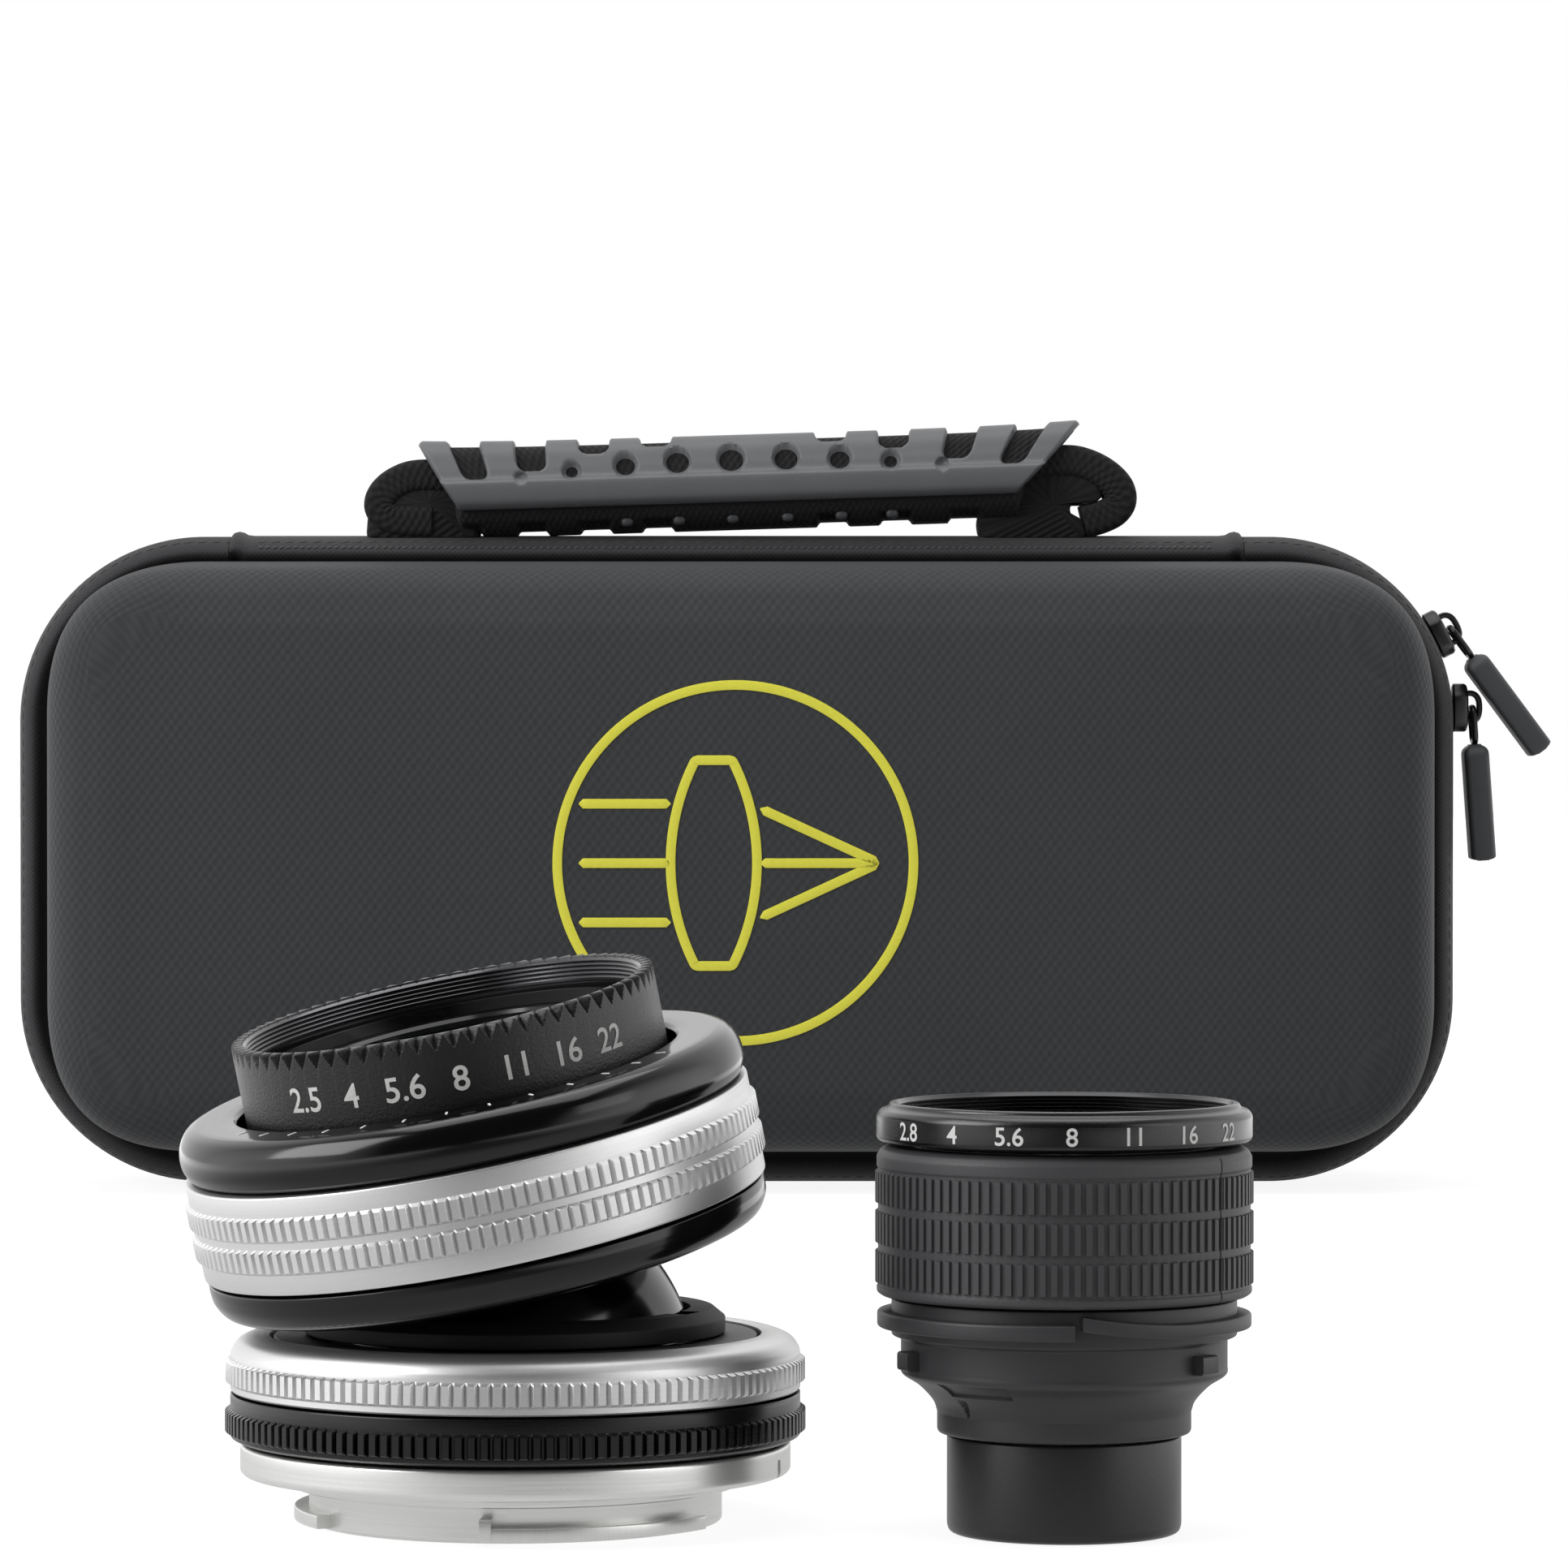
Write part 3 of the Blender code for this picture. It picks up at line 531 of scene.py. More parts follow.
def linear(colour: str) -> Four:
    """Turns an sRGB hex colour into the linear values that sockets take.

    Args:
        colour: The colour, such as #808080.

    Returns:
        Red, green, blue and an alpha of 1.
    """
    srgb = np.array([int(colour[i : i + 2], 16) for i in (1, 3, 5)]) / 255.0
    value = np.where(srgb <= 0.04045, srgb / 12.92, ((srgb + 0.055) / 1.055) ** 2.4)
    return (*value.tolist(), 1.0)


def add_node(tree: Tree, kind: str, settings: dict | None = None, inputs: dict | None = None) -> Node:
    """Adds a node with its settings, and sets or links its inputs.

    Args:
        tree: Where it goes.
        kind: Its type, without the prefix that all shader nodes share.
        settings: Properties by name.
        inputs: Values, or sockets to link from, by input name or number.

    Returns:
        The node.
    """
    node = tree.nodes.new(f"ShaderNode{kind}")
    for key, value in (settings or {}).items():
        setattr(node, key, value)
    for key, value in (inputs or {}).items():
        if isinstance(value, Socket):
            tree.links.new(value, node.inputs[key])
        else:
            node.inputs[key].default_value = value
    return node


def in_space(tree: Tree, size: float, **more: float) -> dict:
    """Inputs for a texture in object coordinates, with features of a real size in millimetres."""
    place = add_node(tree, "TexCoord")
    return {"Vector": place.outputs["Object"], "Scale": 1.0 / (size * MM), **more}


def noise(tree: Tree, size: float, **more: float) -> Socket:
    """Noise in object coordinates, with features of a real size in millimetres."""
    return add_node(tree, "TexNoise", None, in_space(tree, size, **more)).outputs[0]


def mix(tree: Tree, share: Socket | float, first: Socket | float, second: Socket | float) -> Socket:
    """Goes from the first number to the second as the share goes from 0 to 1."""
    return add_node(tree, "Mix", {"data_type": "FLOAT"}, {0: share, 2: first, 3: second}).outputs[0]


def ramp(tree: Tree, value: Socket, *ends: float) -> Socket:
    """Maps a value from one range, which is the first two ends, to another, the last two."""
    return add_node(tree, "MapRange", None, dict(zip(RAMP, (value, *ends)))).outputs[0]


def reckon(tree: Tree, operation: str, *values: Socket) -> Socket:
    """One step of arithmetic."""
    return add_node(tree, "Math", {"operation": operation}, dict(enumerate(values))).outputs[0]


@dataclass(frozen=True)
class Finish:
    """What every finish has: a name, a colour and the shade it varies to, gloss and relief in millimetres."""

    name: str
    colour: str
    shade: str
    roughness: float
    metallic: float = 0.0
    depth: float = 0.0
    spread: float = 0.05
    specular: float = 0.5

    def make(self) -> bpy.types.Material:
        """Makes the material on first use.

        Returns:
            The material, which has the finish's name.
        """
        found = bpy.data.materials.get(self.name)
        if found:
            return found
        material = bpy.data.materials.new(self.name)
        material.use_nodes = True
        tree = material.node_tree
        shader = tree.nodes["Principled BSDF"]
        shader.inputs["Metallic"].default_value = self.metallic
        shader.inputs["Specular IOR Level"].default_value = self.specular
        self.dress(tree, shader)
        return material

    def dress(self, tree: Tree, shader: Node) -> None:
        """Adds the finish's own nodes. Each kind of finish has its own."""
        raise NotImplementedError

    def vary(self, tree: Tree, shader: Node, amount: Socket, height: Socket | None = None) -> None:
        """Lets a pattern move the colour towards the shade and the roughness each way, and one make the bump.

        Args:
            tree: The material's nodes.
            shader: Its shader.
            amount: The pattern for colour and roughness, from 0 to 1.
            height: The pattern for the bump.
        """
        ends = {6: linear(self.colour), 7: linear(self.shade)}
        colour = add_node(tree, "Mix", {"data_type": "RGBA"}, {0: amount, **ends})
        tree.links.new(colour.outputs[2], shader.inputs["Base Color"])
        low, high = max(0.02, self.roughness - self.spread), min(1.0, self.roughness + self.spread)
        tree.links.new(ramp(tree, amount, 0.0, 1.0, low, high), shader.inputs["Roughness"])
        if height is not None:
            bump = add_node(tree, "Bump", None, {"Distance": self.depth * MM, "Height": height})
            tree.links.new(bump.outputs[0], shader.inputs["Normal"])


@dataclass(frozen=True)
class TurnedMetal(Finish):
    """Metal turned on a lathe, then blasted, plated or anodised: hair lines run round it over a fine grain.

    Real lines are 0.05 to 0.1 mm apart, too fine for the picture, so they are drawn 0.22 to 0.3 mm apart.
    They give the eye a soft streak of light along the axis, and the grain scatters it.
    """

    line_pitch: float = 0.22
    line_length: float = 60.0
    line_share: float = 0.6
    grain: float = 0.12
    depth: float = 0.01
    spread: float = 0.07

    def dress(self, tree: Tree, shader: Node) -> None:
        """Hair lines on the flat map and grain in space drive bump, colour and roughness.

        Args:
            tree: The material's nodes.
            shader: Its shader.
        """
        flat = add_node(tree, "UVMap", {"uv_map": FLAT_MAP})
        stretch = (1.0 / self.line_length, 1.0 / self.line_pitch, 1.0)
        along = add_node(tree, "Mapping", None, {"Vector": flat.outputs[0], "Scale": stretch})
        plane = {"noise_dimensions": "2D"}
        lines = add_node(tree, "TexNoise", plane, {"Vector": along.outputs[0], "Scale": 1.0, "Detail": 3.0})
        height = mix(tree, self.line_share, noise(tree, self.grain, Detail=2.0), lines.outputs[0])
        self.vary(tree, shader, height, height)


@dataclass(frozen=True)
class MouldedGrain(Finish):
    """Moulded plastic, rubber or paint, with the spark grain of a mould or of blasting, 0.15 to 0.5 mm wide.

    Its small rounded pits break up the gloss, so the eye sees a soft sheen with fine sparkle.
    """

    grain: float = 0.25
    depth: float = 0.03
    patch: float = 9.0
    spread: float = 0.08

    def dress(self, tree: Tree, shader: Node) -> None:
        """Grain of the real size makes the bump, and broad patches move colour and gloss a little.

        Args:
            tree: The material's nodes.
            shader: Its shader.
        """
        grain = noise(tree, self.grain, Detail=2.5, Roughness=0.6)
        patch = noise(tree, self.patch, Detail=4.0)
        self.vary(tree, shader, mix(tree, 0.5, grain, patch), grain)


@dataclass(frozen=True)
class WovenCloth(Finish):
    """Plain-woven nylon or polyester: threads cross over and under, and raised dots make a diamond lattice.

    The sum of two slanted waves is that lattice, with periods two threads wide each way. Its dots give the
    eye a matt cloth with a fine diamond pattern.
    """

    warp: float = 1.8
    weft: float = 2.36
    depth: float = 0.12
    fibre: float = 0.2
    patch: float = 45.0
    sheen: float = 0.06
    spread: float = 0.06
    specular: float = 0.3

    def dress(self, tree: Tree, shader: Node) -> None:
        """Lattice on the flat map for threads, darker at its low points as painted shade, fine noise for
        fibres and broad noise for marks of handling.

        Args:
            tree: The material's nodes.
            shader: Its shader.
        """
        flat = add_node(tree, "UVMap", {"uv_map": FLAT_MAP})
        settings = {"wave_type": "BANDS", "bands_direction": "DIAGONAL"}
        shape = {"Scale": FULL_TURN / 10.0, "Distortion": 0.25, "Detail": 1.0}
        waves = []
        for turn in (1.0, -1.0):
            scale = (1.0 / self.warp, turn / self.weft, 1.0)
            along = add_node(tree, "Mapping", None, {"Vector": flat.outputs[0], "Scale": scale})
            wave = add_node(tree, "TexWave", settings, {"Vector": along.outputs[0], **shape})
            waves.append(wave.outputs[1])
        lattice = mix(tree, 0.5, *waves)
        height = mix(tree, 0.22, lattice, noise(tree, self.fibre, Detail=2.0))
        # Painted shade: the lattice's low points take the darker colour, as shade between the threads
        low = ramp(tree, height, 0.75, 0.25, 0.0, 1.0)
        amount = mix(tree, 0.5, low, noise(tree, self.patch, Detail=3.0))
        shader.inputs["Sheen Weight"].default_value = self.sheen
        shader.inputs["Sheen Roughness"].default_value = 0.4
        self.vary(tree, shader, amount, height)


@dataclass(frozen=True)
class CellFoam(Finish):
    """Cut closed-cell foam: cells under a millimetre wide show as tiny cups with thin rims, dull and soft."""

    cell: float = 0.9
    depth: float = 0.35
    spread: float = 0.04

    def dress(self, tree: Tree, shader: Node) -> None:
        """Cells make the bump, and their cups are darker than their rims, as painted shade."""
        cups = add_node(tree, "TexVoronoi", {"feature": "SMOOTH_F1"}, in_space(tree, self.cell))
        self.vary(tree, shader, cups.outputs[0], cups.outputs[0])


@dataclass(frozen=True)
class PrintedInk(Finish):
    """Screen or pad print: an even bright coat over what is under it, a little mottled where it is thin."""

    mottle: float = 0.6
    depth: float = 0.02

    def dress(self, tree: Tree, shader: Node) -> None:
        """Mottle moves the colour and a light orange peel roughens it."""
        mottle = noise(tree, self.mottle, Detail=3.0)
        self.vary(tree, shader, mottle, mottle)


@dataclass(frozen=True)
class CoatedGlass(Finish):
    """Polished optical glass with an anti-reflection coat: clear, with a faint tint in what it mirrors."""

    tint: str = "#b7a6d8"
    haze: float = 14.0
    index: float = 1.52
    spread: float = 0.015

    def dress(self, tree: Tree, shader: Node) -> None:
        """Clear crown glass; faint cleaning haze varies its roughness.

        Args:
            tree: The material's nodes.
            shader: Its shader.
        """
        shader.inputs["Transmission Weight"].default_value = 1.0
        shader.inputs["IOR"].default_value = self.index
        shader.inputs["Specular Tint"].default_value = linear(self.tint)
        self.vary(tree, shader, noise(tree, self.haze, Detail=3.0))


# The set's finishes, each named for the real material, from soft goods to glass and print

# Dull dark cloth and foam: light only from their threads and cells
SHELL_CLOTH = WovenCloth("nylon cloth over moulded foam", "#393a3c", "#2c2d2f", 0.75)
TAPE_CLOTH = WovenCloth("polyester zip tape", "#343436", "#262628", 0.8, warp=0.9, weft=1.1, depth=0.06)
WEBBING = WovenCloth("nylon webbing", "#1c1c1e", "#101011", 0.85, warp=1.5, weft=2.6, depth=0.3, sheen=0.05)
FOAM = CellFoam("cut closed-cell foam", "#1d1d1f", "#2a2a2c", 0.95)
# Smooth nylon, soft rubber and thin paint, which shine a little along their edges
COIL = MouldedGrain("moulded nylon zip teeth", "#2b2b2d", "#1e1e20", 0.38, grain=0.4, depth=0.01)
GRIP_RUBBER = MouldedGrain("moulded grip rubber", "#6c6d6f", "#5c5d5f", 0.5, grain=0.3, specular=0.35)
PULL_RUBBER = MouldedGrain("moulded pull rubber", "#4c4d4f", "#404143", 0.5, depth=0.02, specular=0.35)
ZIP_METAL = MouldedGrain("painted zinc slider", "#1a1a1c", "#131315", 0.34, 0.3, grain=0.5, depth=0.01)
STITCH = MouldedGrain("polyester thread", "#343436", "#29292b", 0.6, grain=0.15)
# Turned metal: bright satin rings with a streak of light, and near-black ones that mirror the room
# Chrome near-white and only three-quarters metallic: its diffuse share is painted reflection that keeps it
# bright
CHROME = TurnedMetal("turned and chromed brass", "#ececea", "#d6d6d4", 0.3, 0.75, depth=0.012, line_pitch=0.3)
SILVER = TurnedMetal("satin anodised aluminium", "#dcdcdc", "#c6c6c6", 0.42, 0.92, line_share=0.4, grain=0.14)
GLOSS_BLACK = TurnedMetal(
    "bright black anodised aluminium", "#060607", "#040405", 0.15, depth=0.002, spread=0.03, specular=0.38
)
THREAD = TurnedMetal("black chromed thread", "#59595b", "#4a4a4c", 0.2, 0.9, depth=0.002, spread=0.03)
SATIN_BLACK = TurnedMetal(
    "satin black anodised aluminium", "#0a0a0b", "#060607", 0.27, depth=0.006, line_share=0.7, specular=0.35
)
# Blackened and grained rings, polymer and rubber, from dull to half gloss
MATTE_BLACK = MouldedGrain(
    "blackened stop paint", "#101011", "#0a0a0b", 0.6, grain=0.3, depth=0.02, specular=0.3
)
HOUSING = MouldedGrain("bead-blasted dark anodised ring", "#5a5a5c", "#4c4c4e", 0.5, 0.5, grain=0.2)
GRAINED = MouldedGrain(
    "spark-grained black polymer", "#161617", "#0d0d0e", 0.4, grain=0.34, depth=0.06, specular=0.4
)
GRAPHITE = MouldedGrain(
    "moulded dark grey polymer", "#3a3a3c", "#303032", 0.45, grain=0.28, depth=0.02, specular=0.35
)
GRAPHITE_RING = MouldedGrain("painted rear barrel", "#29292b", "#1f1f21", 0.36, depth=0.015, specular=0.4)
RING_PAINT = MouldedGrain("gloss painted front ring", "#0f0f10", "#0a0a0b", 0.26, depth=0.01, specular=0.45)
RIB_RUBBER = MouldedGrain("moulded ribbed rubber", "#48484a", "#3b3b3d", 0.5, grain=0.3, specular=0.35)
NYLON = MouldedGrain("moulded natural nylon", "#c9c5b8", "#b7b3a6", 0.45, grain=0.5, depth=0.02)
BLADE = MouldedGrain("blackened steel blade", "#1c1c1e", "#131314", 0.42, 0.6, grain=0.3, depth=0.005)
# Clear glass, and inks that stay bright in any light
GLASS = CoatedGlass("coated crown glass", "#f2f5f4", "#e4eae8", 0.03)
WHITE_INK = PrintedInk("white pad print", "#e4e4e2", "#cfcfcd", 0.5)
YELLOW_INK = PrintedInk("yellow silicone print", "#dfdb47", "#d2cd3a", 0.55)


def dress(
    piece: Piece, finish: Finish, body: str, nodes: Sequence[str] = ()
) -> None:
    """Gives a piece its finish and sets it on its body.

    Args:
        piece: The piece, in place.
        finish: Its finish.
        body: The CAD body that it moves with.
        nodes: CAD nodes that it stands for.
    """
    piece.data.materials.clear()
    piece.data.materials.append(finish.make())
    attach(piece, body)
    if nodes:
        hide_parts(*nodes)
    LOG.info("%s: %d faces, on %s", piece.name, len(piece.data.polygons), body)


@dataclass(frozen=True)
class Ribs:
    """Rows of ribs round a ring: each stands between grooves with sloping sides and runs out at its ends.

    The lift of a point is the lesser of its groove's height there and its row's height there.
    """

    count: int
    rows: Spans
    height: float
    run_out: float = 0.34
    floor: float = 0.0
    flank: float = 0.24
    seam: float | None = None
    seam_half: float = 0.27
    seam_depth: float = 0.12
    seam_steps: Sizes = (-0.34, -0.2, 0.0, 0.2, 0.34)

    def angles(self) -> Array:
        """Finds where the wall needs points.

        Returns:
            Angles on the grooves' bottoms and edges, and on the seam, in radians.
        """
        edge = self.floor + self.flank
        half = np.unique([0.0, self.floor, self.floor + self.flank / 2.0, edge, edge + 0.04])
        share = np.concatenate([half, [0.5], 1.0 - half[:0:-1]])
        even = ((np.arange(self.count)[:, None] + share[None, :]) * FULL_TURN / self.count).ravel()
        if self.seam is None:
            return even
        seam = self.seam + np.array(self.seam_steps)
        return np.unique(np.concatenate([even, np.radians(seam)]))

    def levels(self) -> Array:
        """Heights at the ends of the rows and along their run-outs."""
        ends = np.linspace(0.0, self.run_out, 4)
        return np.unique(np.stack([(low + ends, high - ends) for low, high in self.rows]))

    def lift(self, height: Array, angle: Array) -> Array:
        """How far each point of a wall stands out, below 0 at the seam.

        Args:
            height: Height at each point.
            angle: Angle at each point.

        Returns:
            The lift at each point.
        """
        share = (angle * self.count / FULL_TURN) % 1.0
        share = np.minimum(share, 1.0 - share)
        groove = np.clip((share - self.floor) / self.flank, 0.0, 1.0)
        inside = np.maximum.reduce([np.minimum(height - low, high - height) for low, high in self.rows])
        row = np.clip(inside / self.run_out, 0.0, 1.0)
        lift = self.height * np.minimum(groove, row)
        if self.seam is None:
            return lift
        return np.where(np.abs(np.degrees(angle) - self.seam) < self.seam_half, -self.seam_depth, lift)

    def cut(self, place: Local, profile: Array, wall: float) -> Surface:
        """Turns a ring with these ribs on its outer wall.

        Args:
            place: Where the axis stands.
            profile: The ring without ribs.
            wall: Points at least this far out carry the ribs.

        Returns:
            The surface.
        """

        def bend(radius: Array, height: Array, angle: Array) -> Pair:
            """Lifts the wall's points."""
            return radius + np.where(radius >= wall, self.lift(height, angle), 0.0), height

        return lathe(place, with_levels(profile, self.levels()), self.angles(), bend)


def number_marks(
    name: str, marks: Sequence[tuple[str, float]], size: float, place: Local, radius: float, level: float
) -> Piece:
    """Plain numbers printed round a cylinder: a letter's x becomes an angle and its y a height.

    Args:
        name: Name of the piece.
        marks: Each text with its angle in degrees.
        size: Letter size in millimetres.
        place: The cylinder's axis.
        radius: Radius that the print stands on.
        level: Height of the text's base line.

    Returns:
        The piece.
    """
    points, faces = [], []
    for text, at in marks:
        curve = bpy.data.curves.new(name, "FONT")
        curve.body = text
        curve.size = size
        curve.align_x = "CENTER"
        curve.offset = PRINT_BOLD * size
        curve.resolution_u = 4
        letters = bpy.data.objects.new(name, curve)
        bpy.context.scene.collection.objects.link(letters)
        flat = bpy.data.meshes.new_from_object(letters.evaluated_get(bpy.context.evaluated_depsgraph_get()))
        co = np.empty(len(flat.vertices) * 3)
        flat.vertices.foreach_get("co", co)
        co = co.reshape(-1, 3)
        angle = math.radians(at) + co[:, 0] / radius
        reach = radius + PRINT_LIFT
        ring = np.stack([reach * np.sin(angle), reach * np.cos(angle), level + co[:, 1]], -1)
        start = sum(len(block) for block in points)
        points.append(place.put(ring))
        faces += [[start + v for v in polygon.vertices] for polygon in flat.polygons]
        bpy.data.objects.remove(letters)
        bpy.data.curves.remove(curve)
        bpy.data.meshes.remove(flat)
    mesh = bpy.data.meshes.new(name)
    mesh.from_pydata((np.vstack(points) * MM).tolist(), [], faces)
    return finish_mesh(name, mesh, Crease.MOULD)


@dataclass
class LensBase:
    """Camera mount and socket of the tilt lens, which stand still while the ball turns in them."""

    place: Local = Local.turned_about(LENS_AT)
    lug_spans: Spans = ((-7.0, 60.0), (113.0, 180.0), (233.0, 300.0))
    stop_width: float = 3.0
    keeper_notches: Spans = ((60.9, 71.1), (150.9, 161.1), (240.9, 251.1), (330.9, 341.1))
    collar_ribs: Ribs = Ribs(144, ((10.1, 13.0),), 0.6, floor=0.08, flank=0.16)
    lock_ribs: Ribs = Ribs(142, ((15.75, 18.65),), 0.55)
    index_slot: Spans = ((72.6, 74.4),)
    index_depth: float = 1.1
    index_top: float = 7.62
    index_inner: float = 29.0
    notch_floor: float = 22.4
    notch_reach: float = 21.2
    seat_radius: float = 20.9
    seat_outer: float = 22.6
    seat_ends: Span = (4.0, -4.8)
    mount_corners: Spans = (
        (20.0, 0.4), (20.4, 0.0), (23.1, 0.0), (23.4, 0.3), (23.4, 4.1), (25.3, 4.1), (25.6, 4.4),
        (25.6, 5.0), (27.8, 5.1), (28.4, 5.5), (30.8, 5.5), (31.2, 5.9), (31.2, 8.7), (30.9, 9.0),
        (20.0, 9.0),
    )
    lug_section: Sizes = (22.0, 25.1, 0.35, 1.9, 0.2)
    stop_section: Sizes = (22.0, 25.3, 0.35, 2.9, 0.25)
    flange_levels: Sizes = (6.4, 7.5, 7.6, 7.7)
    collar_corners: Spans = (
        (20.4, 9.3), (31.3, 9.3), (32.3, 9.75), (32.3, 14.65), (23.1, 14.65), (23.1, 11.6), (20.4, 11.6)
    )
    keeper_corners: Spans = ((20.5, 21.4), (23.8, 21.4), (23.8, 23.05), (22.4, 24.2), (19.8, 24.2))
    collar_wall: float = 32.1
    lock_wall: float = 32.2
    housing_section: Sizes = (23.1, 27.4, 14.95, 21.1, 0.25)
    lock_foot: Spans = ((27.9, 15.1), (28.1, 14.95), (32.1, 14.95), (32.3, 15.15))
    lock_shoulder: Spans = ((32.3, 19.0), (32.1, 19.7), (31.3, 20.7), (29.8, 21.3), (28.4, 21.4))
    lock_lip: Span = (27.9, 21.2)

    def build(self) -> None:
        """Builds and dresses every ring of the base."""
        self.build_mount()
        self.build_collar()
        self.build_socket()
        self.build_lock_ring()

    def build_mount(self) -> None:
        """Chromed mount with three lugs, a stop at the start of each, and an index slot in the flange."""
        profile = with_levels(rounded(self.mount_corners, 0.22), np.array(self.flange_levels))

        def slot(radius: Array, height: Array, angle: Array) -> Pair:
            """Sets the flange's edge back at the index."""
            inside = within(angle, self.index_slot) & (radius > self.index_inner) & (height < self.index_top)
            return radius - np.where(inside, self.index_depth, 0.0), height

        lug, stop = oblong(*self.lug_section), oblong(*self.stop_section)
        mount = lathe(self.place, profile, turns(300, ends_of(self.index_slot)), slot)
        bars = [arc_bar(self.place, lug, span) for span in self.lug_spans]
        bars += [arc_bar(self.place, stop, (start, start + self.stop_width)) for start, _ in self.lug_spans]
        mount.plus(*bars).show("mount_ring", CHROME, "lens_base", ["mount_bayonet"], Slot.CHROME)

    def build_collar(self) -> None:
        """Black ring with fine ribs between the mount and the silver ring."""
        collar = self.collar_ribs.cut(self.place, rounded(self.collar_corners, 0.2), self.collar_wall)
        collar.show("collar_ring", SATIN_BLACK, "lens_base", ["mount_collar"], Slot.BLACK)

    def build_socket(self) -> None:
        """Housing, seat and the notched ring that keeps the ball in."""
        turned = lathe(self.place, oblong(*self.housing_section), turns(200))
        turned.show("housing_ring", HOUSING, "lens_base", ["socket_housing"], Slot.MATTE)

        angles = turns(200, ends_of(self.keeper_notches))

        def notch(radius: Array, height: Array, angle: Array) -> Pair:
            """Cuts the notches down from the ring's top, inside."""
            inside = within(angle, self.keeper_notches) & (radius < self.notch_reach)
            return radius, np.where(inside, np.minimum(height, self.notch_floor), height)

        turned = lathe(self.place, rounded(self.keeper_corners, 0.15), angles, notch)
        turned.show("keeper_ring", MATTE_BLACK, "lens_base", ["retaining_ring"], Slot.BLACK)

        level = np.linspace(*self.seat_ends, 12)
        bore = np.stack([np.sqrt(self.seat_radius**2 - level**2), BALL_HEIGHT + level], -1)
        profile = np.vstack([[(self.seat_outer, BALL_HEIGHT + end) for end in self.seat_ends[::-1]], bore])
        turned = lathe(self.place, profile, turns(160))
        turned.show("socket_seat", NYLON, "lens_seat", ["socket_liner"], Slot.NYLON)

    def build_lock_ring(self) -> None:
        """Silver ring with one row of ribs and a domed shoulder."""
        corners = np.vstack([self.lock_foot, spline(self.lock_shoulder, 5), [self.lock_lip]])
        ring = self.lock_ribs.cut(self.place, corners, self.lock_wall)
        ring.show("lock_ring_turned", SILVER, "lens_lock", ["lock_ring"], Slot.SILVER)


